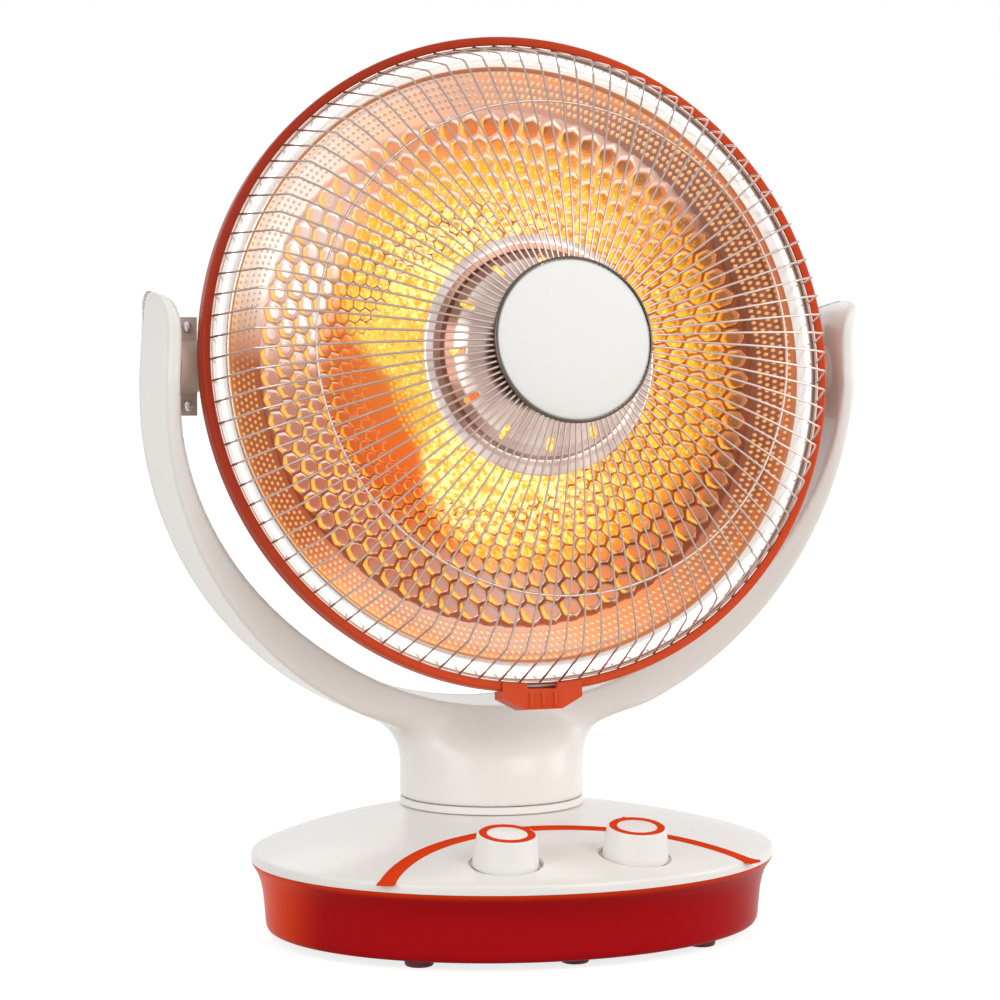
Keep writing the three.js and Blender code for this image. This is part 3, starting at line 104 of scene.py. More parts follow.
def seen():
    """1 for what is seen, straight or in a mirror or glass, and 0 for the light on the heater."""
    path = node("LightPath").outputs
    return maths('MAXIMUM', maths('MAXIMUM', path["Is Camera Ray"], path["Is Glossy Ray"]), path["Is Transmission Ray"])


room = bpy.data.worlds.new("pale_room")
scene.world = room
room.use_nodes = True
begin(room.node_tree)
tree.clear()
room_mix = node("MixShader", Fac=seen())
put(room_mix.inputs[1], node("Background", Color=(0.97, 0.97, 0.97), Strength=0.62).outputs[0])
put(room_mix.inputs[2], node("Background", Color=(1, 1, 1), Strength=1.0).outputs[0])
node("OutputWorld", Surface=room_mix.outputs[0])

bpy.ops.object.select_all(action='DESELECT')
bpy.ops.mesh.primitive_plane_add(size=60)
floor = bpy.context.object
floor.name = "studio_floor"
paper = bpy.data.materials.new("studio_paper")
paper.use_nodes = True
begin(paper.node_tree)
tree.clear()
paper_sum = node("AddShader")
put(paper_sum.inputs[0], node("BsdfDiffuse", Color=(0.5, 0.465, 0.43)).outputs[0])
put(paper_sum.inputs[1], node("Emission", Color=(1, 1, 1), Strength=times(seen(), 0.78)).outputs[0])
node("OutputMaterial", Surface=paper_sum.outputs[0])
floor.data.materials.append(paper)


# Base skirt: a glossy red wall, moulded in one piece and open below.
# It flares to its rim, leans in towards the floor and rounds under at the foot.
MM = 0.001


def oval_ring(half_width, half_depth, centre_y, height, count=144):
    ring = []
    for i in range(count):
        angle = 2 * math.pi * i / count
        ring.append((half_width * math.cos(angle), centre_y + half_depth * math.sin(angle), height))
    return ring


def pick(name):
    """The piece that was just added, named and alone in the selection."""
    piece = bpy.context.object
    piece.name = name
    piece.data.name = name
    return piece


def alone(piece):
    bpy.ops.object.select_all(action='DESELECT')
    bpy.context.view_layer.objects.active = piece
    piece.select_set(True)


def edit_all():
    bpy.ops.object.mode_set(mode='EDIT')
    bpy.ops.mesh.select_all(action='SELECT')


def smoothed(degrees):
    bpy.ops.object.shade_smooth_by_angle(angle=math.radians(degrees))


def closed_up(piece, smooth_angle):
    """Merges doubles, closes open ends and turns the faces out."""
    alone(piece)
    edit_all()
    bpy.ops.mesh.remove_doubles(threshold=0.000002)
    bpy.ops.mesh.delete_loose()
    bpy.ops.mesh.select_all(action='SELECT')
    bpy.ops.mesh.fill_holes(sides=0)
    bpy.ops.mesh.select_all(action='SELECT')
    bpy.ops.mesh.normals_make_consistent(inside=False)
    bpy.ops.object.mode_set(mode='OBJECT')
    smoothed(smooth_angle)


def skinned(name, rings, joined_ends, smooth_angle=40):
    """A grid is drawn over rings of points, in millimetres, and sewn up along its seam."""
    rows = list(rings) + ([rings[0]] if joined_ends else [])
    across = len(rows[0])
    bpy.ops.object.select_all(action='DESELECT')
    bpy.ops.mesh.primitive_grid_add(x_subdivisions=across, y_subdivisions=len(rows) - 1, size=1)
    piece = pick(name)
    points = [Vector(p) * MM for row in rows for p in list(row) + [row[0]]]
    for corner, point in zip(piece.data.vertices, points):
        corner.co = point
    closed_up(piece, smooth_angle)
    return piece


def bevelled(piece, width, segments=2, angle=32):
    """Rounds the piece's sharp edges."""
    edge = piece.modifiers.new("edge", 'BEVEL')
    edge.width = width * MM
    edge.segments = segments
    edge.limit_method = 'ANGLE'
    edge.angle_limit = math.radians(angle)
    alone(piece)
    bpy.ops.object.modifier_apply(modifier="edge")
    smoothed(angle)
    return piece


def plus(a, b):
    return maths('ADD', a, b)


def minus(a, b):
    return maths('SUBTRACT', a, b)


def scaled(a, factor, shift):
    return maths('MULTIPLY_ADD', a, factor, shift)


def mixed(share, a, b, blend='MIX'):
    """Two colours blended by a share."""
    return node("Mix", {"data_type": 'RGBA', "blend_type": blend}, Factor=share, A=a, B=b).outputs["Result"]


def noise(scale, detail=2):
    """Soft spots, fixed to the object."""
    return node("TexNoise", Vector=node("TexCoord").outputs["Object"], Scale=scale, Detail=detail).outputs["Fac"]


def grouped(name, came_in, gone_out):
    """An empty node group with its sockets, made the tree at hand. Gives the group and what comes into it."""
    group = bpy.data.node_groups.new(name, 'ShaderNodeTree')
    for label, value in came_in:
        kind = 'NodeSocketColor' if isinstance(value, tuple) else 'NodeSocketFloat'
        socket = group.interface.new_socket(name=label, in_out='INPUT', socket_type=kind)
        socket.default_value = (*value, 1) if isinstance(value, tuple) else value
    for label in gone_out:
        kind = 'NodeSocketColor' if label == "Colour" else 'NodeSocketFloat'
        group.interface.new_socket(name=label, in_out='OUTPUT', socket_type=kind)
    begin(group)
    return group, tree.new("NodeGroupInput").outputs if came_in else None


def group_gives(*values):
    for socket, value in zip(tree.new("NodeGroupOutput").inputs, values):
        link.new(value, socket)


# Moulded plastic has faint flow marks in its colour, and a very fine grain in its gloss and its surface.
MOULDED, came = grouped("moulded_finish", (
    ("Colour", (0.8, 0.8, 0.8)), ("Deep colour", (0.6, 0.6, 0.6)), ("Gloss", 0.3), ("Grain", 900.0),
), ("Colour", "Roughness", "Height"))
flow_share = node("MapRange", Value=noise(9, 3), From_Min=0.42, From_Max=0.9, To_Max=0.35).outputs[0]
grain = noise(came["Grain"])
group_gives(mixed(flow_share, came["Colour"], came["Deep colour"]), scaled(grain, 0.1, came["Gloss"]), grain)


def new_finish(name):
    """A material whose node tree is then the one at hand."""
    finish = bpy.data.materials.new(name)
    finish.use_nodes = True
    begin(finish.node_tree)
    return finish


def shade(**sockets):
    """Feeds the shader of the material at hand."""
    for name, value in sockets.items():
        put(tree["Principled BSDF"].inputs[name.replace("_", " ")], value)


def plastic(name, colour, deep, gloss, grain=900, relief=0.04, coat=0.0, shine=0.5):
    """A plastic finish: the shared grain feeds the material's own shader."""
    finish = new_finish(name)
    skin = node("Group", {"node_tree": MOULDED}, Colour=colour, Deep_colour=deep, Gloss=gloss, Grain=grain).outputs
    bump = node("Bump", Strength=relief, Distance=0.0004, Height=skin["Height"])
    shade(Coat_Weight=coat, Coat_Roughness=0.06, Specular_IOR_Level=shine, Base_Color=skin["Colour"],
          Roughness=skin["Roughness"], Normal=bump.outputs["Normal"])
    return finish


def fit(piece, body, finish, slot, *stands_for):
    """Gives the piece its finish, and seats it on its body in place of the CAD nodes named. The slot is not used."""
    piece.data.materials.clear()
    piece.data.materials.append(finish)
    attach(piece, body)
    if stands_for:
        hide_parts(*stands_for)


def eased(value, low, high):
    """A soft step from 0 at low to 1 at high."""
    return node("MapRange", {"interpolation_type": 'SMOOTHSTEP'}, Value=value, From_Min=low, From_Max=high).outputs[0]


def tinted(share, colour):
    """Turns the base colour of the material at hand towards another one."""
    base = tree["Principled BSDF"].inputs["Base Color"]
    put(base, mixed(share, base.links[0].from_socket, colour))


skirt_wall = 2.5
skirt_half_width, skirt_half_depth = 162.6, 142
skirt_foot_z, skirt_height = 5, 41.1
side_lean, front_lean = 9.5, 13.5
skirt_shares = [
    (1.0, 0.0), (0.975, 0.03), (0.93, 0.14), (0.86, 0.32), (0.77, 0.5), (0.66, 0.63), (0.54, 0.73),
    (0.4, 0.8), (0.25, 0.855), (0.12, 0.895), (0.05, 0.94), (0.012, 1.02), (0.0, 1.12),
]


def skirt_ring(height_share, inset_share, wall):
    half_width = skirt_half_width - side_lean * inset_share - wall
    half_depth = skirt_half_depth - front_lean * inset_share - wall
    return oval_ring(half_width, half_depth, 0, skirt_foot_z + skirt_height * height_share)


skirt_rings = [skirt_ring(h, k, 0) for h, k in skirt_shares]
skirt_rings += [skirt_ring(h, k, skirt_wall) for h, k in reversed(skirt_shares)]
red_gloss = plastic("red_gloss", (0.43, 0.006, 0.009), (0.35, 0.004, 0.006), 0.24, relief=0.01, shine=0.03)
across, _, up = node("SeparateXYZ", Vector=node("TexCoord").outputs["Object"]).outputs
# Painted reflection: the skirt's far ends and its top rim are tinted orange-red, as warm light falling on them.
warm_reflection_ends = times(eased(maths('ABSOLUTE', across), 0.136, 0.16), 0.95)
warm_reflection_rim = times(eased(up, 0.0415, 0.046), 0.7)
tinted(maths('MAXIMUM', warm_reflection_ends, warm_reflection_rim), (0.88, 0.06, 0.002))
fit(skinned("skirt_shell", skirt_rings, True), "base", red_gloss, "red_plastic", "base_skirt")


# Cord inlet: a black rubber grommet pushed into the rear wall of the skirt.
# It is spun from one profile, with a soft lip outside and a flange inside.
def turned(name, profile, steps=96, smooth_angle=40):
    """A closed loop is moved to the profile, in millimetres as (radius, height), and spun round Z."""
    bpy.ops.object.select_all(action='DESELECT')
    bpy.ops.mesh.primitive_circle_add(vertices=len(profile), radius=1)
    piece = pick(name)
    for corner, (radius, height) in zip(piece.data.vertices, profile):
        corner.co = (radius * MM, 0, height * MM)
    edit_all()
    bpy.ops.mesh.spin(steps=steps, angle=2 * math.pi, center=(0, 0, 0), axis=(0, 0, 1))
    bpy.ops.object.mode_set(mode='OBJECT')
    closed_up(piece, smooth_angle)
    return piece


def placed(piece, matrix):
    """Moves the mesh itself, so that the object stays at the origin."""
    piece.data.transform(matrix)
    piece.data.update()
    return piece


at_rear = Matrix.Translation((0, 0.1320, 0.022)) @ Matrix.Rotation(math.radians(-90), 4, 'X')
grommet_profile = [
    (3.6, -6), (8.4, -6), (9, -5.4), (9, -4.05), (6.5, -4.05), (6.5, 2.5), (9, 2.5), (9, 3.6), (8.2, 5), (6.4, 5.5),
    (3.6, 5.5),
]
black_rubber = plastic("black_rubber", (0.018, 0.018, 0.02), (0.03, 0.03, 0.032), 0.6, 700, 0.12)
grommet = placed(turned("inlet_grommet", grommet_profile, 48), at_rear)
fit(grommet, "base", black_rubber, "black_plastic", "cord_inlet_grommet")


# Top plate: a white glossy oval that domes up to the collar of the turntable.
# The two knob wells are sunk in its front, and the stripe's groove runs behind them.
collar_radius, collar_y = 58, 43
rim_z, dome_rise, collar_rise = 52, 15, 4.2


def plate_ring_size(share):
    half_width = skirt_half_width + (collar_radius - skirt_half_width) * share
    half_depth = skirt_half_depth + (collar_radius - skirt_half_depth) * share
    return half_width, half_depth, collar_y * share


def plate_height(share):
    return rim_z + dome_rise * (1 - (1 - share) ** 2) + collar_rise * share ** 8


def plate_share(x, y):
    """Which of the plate's rings runs through a point, from 0 at the rim to 1 at the collar."""
    low, high = 0.0, 1.0
    for _ in range(40):
        middle = (low + high) / 2
        half_width, half_depth, centre_y = plate_ring_size(middle)
        if (x / half_width) ** 2 + ((y - centre_y) / half_depth) ** 2 < 1:
            low = middle
        else:
            high = middle
    return low


def plate_surface(x, y):
    return plate_height(plate_share(x, y))


def plate_ring(share, inset, height):
    half_width, half_depth, centre_y = plate_ring_size(share)
    return oval_ring(half_width - inset, half_depth - inset, centre_y, height)


knob_x, knob_y = 40.1, -101.6
panel_tilt = math.atan2(plate_surface(knob_x, knob_y + 1) - plate_surface(knob_x, knob_y - 1), 2)


def at_knob(side):
    place = Vector((side * knob_x, knob_y, plate_surface(knob_x, knob_y))) * MM
    return Matrix.Translation(place) @ Matrix.Rotation(panel_tilt, 4, 'X')


def combined(piece, tool, operation):
    """Cuts the tool from the piece, or joins it, and removes the tool."""
    step = piece.modifiers.new("step", 'BOOLEAN')
    step.operation = operation
    step.solver = 'EXACT'
    step.object = tool
    alone(piece)
    bpy.ops.object.modifier_apply(modifier="step")
    bpy.data.objects.remove(tool, do_unlink=True)
    return piece


plate_edge = [
    (0.0, 0.0, 46.4), (0.0, 0.0, 50.0), (0.0, 0.12, 50.7), (0.0, 0.5, 51.4), (0.0, 1.1, 51.85), (0.0, 1.9, 52.15),
]
plate_rings = [plate_ring(*spot) for spot in plate_edge]
plate_rings += [plate_ring(k, 0, plate_height(k)) for k in
                (0.06, 0.1, 0.16, 0.24, 0.32, 0.4, 0.5, 0.6, 0.7, 0.78, 0.85, 0.9, 0.94, 0.97, 0.99, 1.0)]
hole_radius, plate_wall = 44, 2.8
for height in (71.2, 71.2 - plate_wall):
    plate_rings.append(oval_ring(hole_radius, hole_radius, collar_y, height))
plate_rings += [plate_ring(k, plate_wall / 2, plate_height(k) - plate_wall) for k in (0.9, 0.7, 0.42, 0.2)]
plate_rings += [plate_ring(0, plate_wall, rim_z - plate_wall), plate_ring(0, plate_wall, 46.4)]
panel = skinned("panel_top", plate_rings, True)
well_cup = [(0, -5.6), (24.6, -5.6), (24.6, -1.4), (0, -1.4)]
well_pocket = [(0, -3), (20.3, -3), (21.1, -2.7), (21.5, -1.8), (21.5, -0.5), (22, 0.25), (22.9, 6), (0, 6)]
shaft_hole = [(0, -9), (3.5, -9), (3.5, 0), (0, 0)]
for side in (-1, 1):
    combined(panel, placed(turned("cup", well_cup), at_knob(side)), 'UNION')
for side in (-1, 1):
    combined(panel, placed(turned("pocket", well_pocket), at_knob(side)), 'DIFFERENCE')
    combined(panel, placed(turned("hole", shaft_hole, 32), at_knob(side)), 'DIFFERENCE')
    # The hole crosses the fine edges of the well's floor, so close points are merged before the next cut.
    closed_up(panel, 30)


# Orange stripe: an arc of glossy moulding laid into the panel, ahead of the collar and behind the knobs.
# The groove cut for it is a little wider than the stripe all round.
stripe_back_y, stripe_end_y, stripe_half_span, stripe_half_width = -40, -107.9, 114.4, 4.75
stripe_sagitta = stripe_back_y - stripe_end_y
stripe_radius = (stripe_half_span ** 2 + stripe_sagitta ** 2) / (2 * stripe_sagitta)
stripe_centre_y = stripe_back_y - stripe_radius
stripe_half_angle = math.asin(stripe_half_span / stripe_radius)


def stripe_rings(side_gap, top, bottom, steps=72):
    half = stripe_half_width + side_gap
    end = stripe_half_angle + side_gap / stripe_radius
    rings = []
    for i in range(steps + 1):
        angle = -end + 2 * end * i / steps
        ring = []
        for radius, lift in ((-half, bottom), (-half, top - 0.15), (-half + 0.25, top), (half - 0.25, top),
                             (half, top - 0.15), (half, bottom)):
            x = (stripe_radius + radius) * math.sin(angle)
            y = stripe_centre_y + (stripe_radius + radius) * math.cos(angle)
            ring.append((x, y, plate_surface(x, y) + lift))
        rings.append(ring)
    return rings


combined(panel, skinned("groove", stripe_rings(0.3, 3, -1.3), False), 'DIFFERENCE')
smoothed(30)
white_gloss = plastic(
    "white_gloss", (0.86, 0.845, 0.82), (0.835, 0.81, 0.775), 0.24, relief=0.006, coat=0.1, shine=0.35)
fit(panel, "base", white_gloss, "white_plastic", "base_top_plate")
orange_gloss = plastic("orange_gloss", (0.78, 0.06, 0.012), (0.7, 0.05, 0.01), 0.4, relief=0.012, shine=0.0)
stripe = skinned("stripe_arc", stripe_rings(0, 0.4, -1), False)
fit(stripe, "base", orange_gloss, "orange_plastic", "panel_stripe")


# Feet: six dark red rubber pads with softened rims.
# Each is spun from one profile and pressed into the skirt's floor.
foot_profile = [(0, 0), (6.9, 0), (7.8, 0.35), (8.4, 1.2), (8.5, 2.2), (8.5, 5), (0, 5)]
dark_rubber = plastic("dark_rubber", (0.1, 0.012, 0.012), (0.07, 0.01, 0.01), 0.55, 800, 0.12)
foot_places = ((-88, -88), (0, -108), (88, -88), (-88, 88), (0, 108), (88, 88))
for number, (x, y) in enumerate(foot_places, 1):
    foot = turned(f"pad_{number}", foot_profile, 48)
    placed(foot, Matrix.Translation((x * MM, y * MM, 0)))
    fit(foot, "base", dark_rubber, "rubber", f"foot_{number}")


# Turntable ring: a white moulded disc under the column, which turns with it.
# Its edges are eased, and a fine shadow gap shows above and below.
turntable_profile = [(14.3, 71.7), (57.2, 71.7), (58, 72.3), (58, 75.8), (57.4, 76.4), (14.3, 76.4)]
at_column = Matrix.Translation((0, collar_y * MM, 0))
turntable = placed(turned("turntable_disc", turntable_profile, 160), at_column)
fit(turntable, "column", white_gloss, "white_plastic", "turntable_ring")


# Yoke: a hollow white moulding. A round column spreads into a U band, thick below and thin at its arms.
# The band is skinned along its stations, the column is joined to it, and the whole is softened at its edges.
def between(rows, share):
    """A smooth course through rows of numbers, with share from 0 at the first row to 1 at the last."""
    place = share * (len(rows) - 1)
    i = min(int(place), len(rows) - 2)
    t = place - i
    a, b = rows[max(i - 1, 0)], rows[i]
    c, d = rows[i + 1], rows[min(i + 2, len(rows) - 1)]
    return [
        q + 0.5 * t * (r - p + t * (2 * p - 5 * q + 4 * r - s + t * (3 * (q - r) + s - p)))
        for p, q, r, s in zip(a, b, c, d)
    ]


band_radius, band_centre_z, band_thickness, arm_thickness = 220.3, 333, 23, 8.4
arm_front, arm_rear, low_front, low_rear = 67, -20, 28, -40
arm_depth, tip_height, tip_flare = arm_front - arm_rear, 56, 6
arm_inner = band_radius - arm_thickness
tip_rows = [
    (1, 0.24, 0.62, 0.42, 1), (0.95, 0.08, 0.42, 0.66, 0.72), (0.86, 0.02, 0.22, 0.84, 0.3),
    (0.7, 0, 0.08, 0.94, -0.1), (0.45, 0, 0.01, 1, -0.16), (0.2, 0, 0, 1, -0.06),
]
band_rows = []
for height, front, rear, thick, flare in tip_rows:
    band_rows.append((
        arm_inner + tip_flare * flare + arm_thickness * (1 - thick), band_centre_z + tip_height * height, 0,
        arm_thickness * thick, arm_front - arm_depth * front, arm_rear + arm_depth * rear))
for i in range(13):
    angle = math.pi / 2 * i / 12
    ease = min(angle / math.radians(60), 1)
    thickness = arm_thickness + (band_thickness - arm_thickness) * ease * ease * (3 - 2 * ease)
    inner = band_radius - thickness
    band_rows.append((
        inner * math.cos(angle), band_centre_z - inner * math.sin(angle), angle, thickness,
        arm_front + (low_front - arm_front) * math.sin(angle), arm_rear + (low_rear - arm_rear) * math.sin(angle)))


def band_section(row, side, front, rear, rounds):
    """One loop round the band, over its front edge from the inside and back over its rear edge."""
    across, height, angle, thickness = row[:4]
    corners = ((0, front, 1, -1), (thickness, front, -1, -1), (thickness, rear, -1, 1), (0, rear, 1, 1))
    loop = []
    for k, (edge_t, edge_d, in_t, in_d) in enumerate(corners):
        corner = min(rounds[k], thickness / 2.3)
        for step in range(6):
            turn = math.pi - math.pi / 2 * (k + step / 5)
            t = edge_t + corner * (in_t + math.cos(turn))
            depth = edge_d + corner * (in_d + math.sin(turn))
            loop.append((side * (across + math.cos(angle) * t), -depth, height - math.sin(angle) * t))
    return loop


def band_rings(front_of, rear_of, rounds, steps=70):
    half = [between(band_rows, i / steps) for i in range(steps + 1)]
    rings = [band_section(row, 1, front_of(row), rear_of(row), rounds) for row in half]
    rings += [band_section(row, -1, front_of(row), rear_of(row), rounds) for row in reversed(half[:-1])]
    return rings


def neck_rings(clearance):
    neck_radius = collar_radius + clearance
    rings = [oval_ring(57.2, 57.2, 0, 76.7), oval_ring(neck_radius, neck_radius, 0, 77.5)]
    course = [(0, 0), (0.22, 0.05), (0.4, 0.2), (0.56, 0.45), (0.72, 0.74), (0.88, 0.93), (1, 1)]
    for i in range(25):
        height_share, share = between(course, i / 24)
        half_width, front, rear = (neck_radius + spread * share for spread in (18, -32, -28))
        rings.append(oval_ring(half_width, (front + rear) / 2, (rear - front) / 2, 98 + 36 * height_share))
    return rings


yoke = skinned("yoke_moulding", band_rings(lambda r: r[4], lambda r: r[5] + 5.3, (2, 3.2, 0.6, 0.6)), False)
combined(yoke, skinned("neck", neck_rings(0), False), 'UNION')
even = yoke.modifiers.new("even", 'REMESH')
even.mode = 'VOXEL'
even.voxel_size = 1.7 * MM
bpy.ops.object.modifier_apply(modifier="even")
joint = yoke.vertex_groups.new(name="joint")


def rise_and_fall(value, a, b, c, d):
    share = min((value - a) / (b - a), (d - value) / (d - c), 1)
    return max(share, 0) ** 2 * (3 - 2 * max(share, 0))


for corner in yoke.data.vertices:
    x, y, z = corner.co / MM
    amount = rise_and_fall(z, 86, 100, 124, 135) * rise_and_fall(abs(x), -2, -1, 84, 122)
    if amount > 0:
        joint.add([corner.index], amount, 'REPLACE')
flow = yoke.modifiers.new("flow", 'SMOOTH')
flow.vertex_group = "joint"
flow.factor = 0.5
flow.iterations = 160
bpy.ops.object.modifier_apply(modifier="flow")
yoke.vertex_groups.clear()
smoothed(60)
fit(placed(yoke, at_column), "column", white_gloss, "white_plastic", "yoke_frame")

rear_strip = skinned("yoke_rear_strip", band_rings(lambda r: r[5] + 5, lambda r: r[5], (0.6, 0.6, 3.2, 0.6)), False)
combined(rear_strip, skinned("neck", neck_rings(0.5), False), 'DIFFERENCE')
smoothed(38)
fit(placed(rear_strip, at_column), "column", white_gloss, "white_plastic", "yoke_rear_cover")


# Tilt bearings: on each arm a block and its cap close round the head's trunnion. They are white plastic, coloured beige
# as painted shade with painted glow from the element.
# Two screws hold the cap, and both halves stand on a flat pad moulded inside the arm.
glow_shaded_white = plastic("glow_shaded_white", (0.76, 0.64, 0.54), (0.7, 0.57, 0.47), 0.4, 800, 0.08, shine=0.3)
at_pivot = Matrix.Translation((0, 0.008, 0.345))
block_x, pad_x, ear_height, screw_height, bearing_bore = (197.0, 208.6), (208.9, 214.7), 29, 23.3, 8.3
along_x = Matrix.Rotation(math.radians(90), 4, 'Y')


def box_piece(name, low, high):
    """A block between two corners, in millimetres, to be shaped further."""
    low, high = Vector(low), Vector(high)
    bpy.ops.object.select_all(action='DESELECT')
    bpy.ops.mesh.primitive_cube_add(size=1)
    piece = pick(name)
    piece.data.transform(Matrix.Translation((low + high) / 2 * MM) @ Matrix.Diagonal((*((high - low) * MM), 1)))
    return piece


def eared_round(name, x_low, x_high, bore):
    """A round housing with an ear above and below, laid along X."""
    rim = [(bore, x_low), (17, x_low), (17, x_high), (bore, x_high)]
    housing = placed(turned(name, rim, 72), along_x)
    ears = box_piece("ears", (x_low, -6, -ear_height), (x_high, 6, ear_height))
    hole = placed(turned("hole", [(0, x_low - 2), (bore, x_low - 2), (bore, x_high + 2), (0, x_high + 2)], 72), along_x)
    combined(housing, ears, 'UNION')
    return combined(housing, hole, 'DIFFERENCE')


def halved(piece, front):
    """Keeps the front or the rear half, and closes the cut."""
    alone(piece)
    edit_all()
    place = -0.00015 if front else 0.00015
    bpy.ops.mesh.bisect(
        plane_co=(0, place, 0), plane_no=(0, 1, 0), use_fill=True, clear_outer=front, clear_inner=not front)
    bpy.ops.object.mode_set(mode='OBJECT')
    return bevelled(piece, 0.6, 3)


# Worked metal has fine streaks and a soft smudge in its gloss, and a faint change of tone.
WORKED, came = grouped("worked_metal", (
    ("Colour", (0.7, 0.7, 0.7)), ("Gloss", 0.2), ("Scale", 80.0),
), ("Colour", "Roughness"))
spots = noise(came["Scale"], 4)
group_gives(mixed(0.25, came["Colour"], spots, 'MULTIPLY'), scaled(spots, 0.16, came["Gloss"]))


def metal(name, colour, gloss, scale):
    """A metal finish on the shared streaks."""
    finish = new_finish(name)
    skin = node("Group", {"node_tree": WORKED}, Colour=colour, Gloss=gloss, Scale=scale).outputs
    shade(Metallic=1, Base_Color=skin["Colour"], Roughness=skin["Roughness"])
    return finish


screw_profile = [(0, 6.3), (3.2, 6.3), (3.4, 6.6), (3.4, 7.2), (2.9, 7.9), (1.6, 8.3), (0, 8.3)]
bright_steel = metal("bright_steel", (0.72, 0.72, 0.74), 0.2, 300)
toward_front = Matrix.Rotation(math.radians(90), 4, 'X')
for side, label in ((-1, "left"), (1, "right")):
    x_low, x_high = sorted(side * x for x in block_x)
    for part, front in (("block", False), ("cap", True)):
        half = halved(eared_round(f"bearing_{part}_{label}_half", x_low, x_high, bearing_bore), front)
        fit(placed(half, at_pivot), "column", glow_shaded_white, "bracket_plastic", f"bearing_{part}_{label}")
    pad = bevelled(eared_round(f"pivot_pad_{label}", *sorted(side * x for x in pad_x), 4), 0.5)
    fit(placed(pad, at_pivot), "column", white_gloss, "white_plastic")
    for level, z in (("upper", screw_height), ("lower", -screw_height)):
        screw = placed(turned(f"pan_screw_{label}_{level}", screw_profile, 40), toward_front)
        for turn in (0, 90):
            slot = box_piece("slot", (-2.4, -9.5, -0.35), (2.4, -7.3, 0.35))
            combined(screw, placed(slot, Matrix.Rotation(math.radians(turn + 20), 4, 'Y')), 'DIFFERENCE')
        placed(screw, at_pivot @ Matrix.Translation(((x_low + x_high) / 2 * MM, 0, z * MM)))
        fit(screw, "column", bright_steel, "steel", f"clamp_screw_{label}_{level}")


# Rear shell: a white moulded bowl behind the dish, with eight vents round its back.
# A hollow trunnion on each side turns in the bearings.
at_head = at_pivot @ Matrix.Rotation(math.radians(-7.5), 4, 'X')
facing = at_head @ toward_front
shell_radius, shell_front_s, shell_inset, shell_depth, shell_wall = 193.4, 20.9, 123.4, 110.9, 2.3
shell_course = [(0.05, 0.02), (0.36, 0.14), (0.7, 0.46), (0.95, 0.85), (1, 1)]


def shell_line(wall, steps=24):
    line = []
    for i in range(steps + 1):
        depth, inward = between(shell_course, i / steps)
        line.append((shell_radius - shell_inset * inward - wall, shell_front_s + (wall - shell_depth) * depth))
    return line


shell_profile = [(0, -87.7)] + shell_line(shell_wall)[::-1]
shell_profile += [(191.1, 23.7), (196.8, 23.7), (196.8, 22.3), (shell_radius, 22.3)] + shell_line(0) + [(0, -90)]
shell = turned("head_shell", shell_profile, 160)
for side in (-1, 1):
    boss = [(0, 178), (15, 178), (15, 195.9), (14.2, 196.7), (8, 196.7), (8, 207.8), (7.5, 208.3), (0, 208.3)]
    combined(shell, placed(turned("boss", boss, 64), Matrix.Rotation(math.radians(90 * side), 4, 'Y')), 'UNION')
for i in range(8):
    vent = bevelled(box_piece("vent", (34, -2.5, -95), (62, 2.5, -84)), 2.2, 4)
    combined(shell, placed(vent, Matrix.Rotation(math.radians(45 * i + 22.5), 4, 'Z')), 'DIFFERENCE')
smoothed(36)
fit(placed(shell, facing), "head", white_gloss, "white_plastic", "rear_shell")


# Reflector: polished aluminium, pressed into a dish with a rolled silver rim. Inside the rim its copper, orange and
# pale colours are painted reflection of the element's glow and of the room, with painted shade in its valleys.
# Rows of raised six-sided facets, a band of fine dimples outside them and another inside scatter the glow.
dish_radius, dish_rise, dish_hub_s = 181.5, 78, -54.5


def dish_s(radius):
    return dish_hub_s + dish_rise * (radius / dish_radius) ** 2


cell_count = 72
columns = 2 * cell_count
row_count = 9
row_shrink = 0.9273
row_edges = [158.0]
for row in range(row_count):
    row_edges.append(row_edges[-1] * row_shrink)
dish_points, dish_faces = [], []
dish_marks = {"valley": [], "left": [], "top": [], "across": []}


def dish_point(place, *marks):
    """A point of the pressing, in metres, with the marks that the painted light and shade read."""
    dish_points.append(place)
    for values, value in zip(dish_marks.values(), marks):
        values.append(value)
    return len(dish_points) - 1


def dish_ring(radii, s_of, valley=0.0):
    """A ring of points whose radius runs through the radii given, over and over."""
    ring = []
    for j in range(columns):
        angle, radius = 2 * math.pi * j / columns, radii[j % len(radii)]
        place = Vector((radius * math.cos(angle), radius * math.sin(angle), s_of(radius))) * MM
        ring.append(dish_point(place, valley, 0.0, 0.0, 0.0))
    return ring


def zigzag_ring(radius, swing, odd):
    return dish_ring((radius - swing, radius + swing) if odd % 2 else (radius + swing, radius - swing), dish_s, 1.0)


def strip(a, b):
    for j in range(columns):
        m = (j + 1) % columns
        dish_faces.append((a[j], a[m], b[m], b[j]))


rim_course = [
    (194.4, 25.0), (193.6, 26.6), (192.4, 27.9), (190.6, 28.4), (188.8, 28.3), (187.0, 27.9), (185.0, 27.3),
    (183.2, 26.6), (182.2, 25.9), (181.7, 24.8), (180.9, 23.2), (174, dish_s(174)), (166, dish_s(166)),
    (160.5, dish_s(160.5)),
]
previous = None
for radius, s in rim_course:
    ring = dish_ring((radius,), lambda _: s)
    if previous:
        strip(previous, ring)
    else:
        outer_ring = ring
    previous = ring
to_left, to_top, to_upper_right = Vector((-0.94, -0.34, 0)), Vector((0.15, 0.99, 0)), Vector((0.84, 0.54, 0))
cell_course = [(0.96, 0.1), (0.92, 0.5), (0.84, 1.4), (0.79, 1.7), (0.75, 1.8), (0.45, 1.83)]
border = zigzag_ring(row_edges[0], (row_edges[0] - row_edges[1]) / 6, 1)
strip(previous, border)
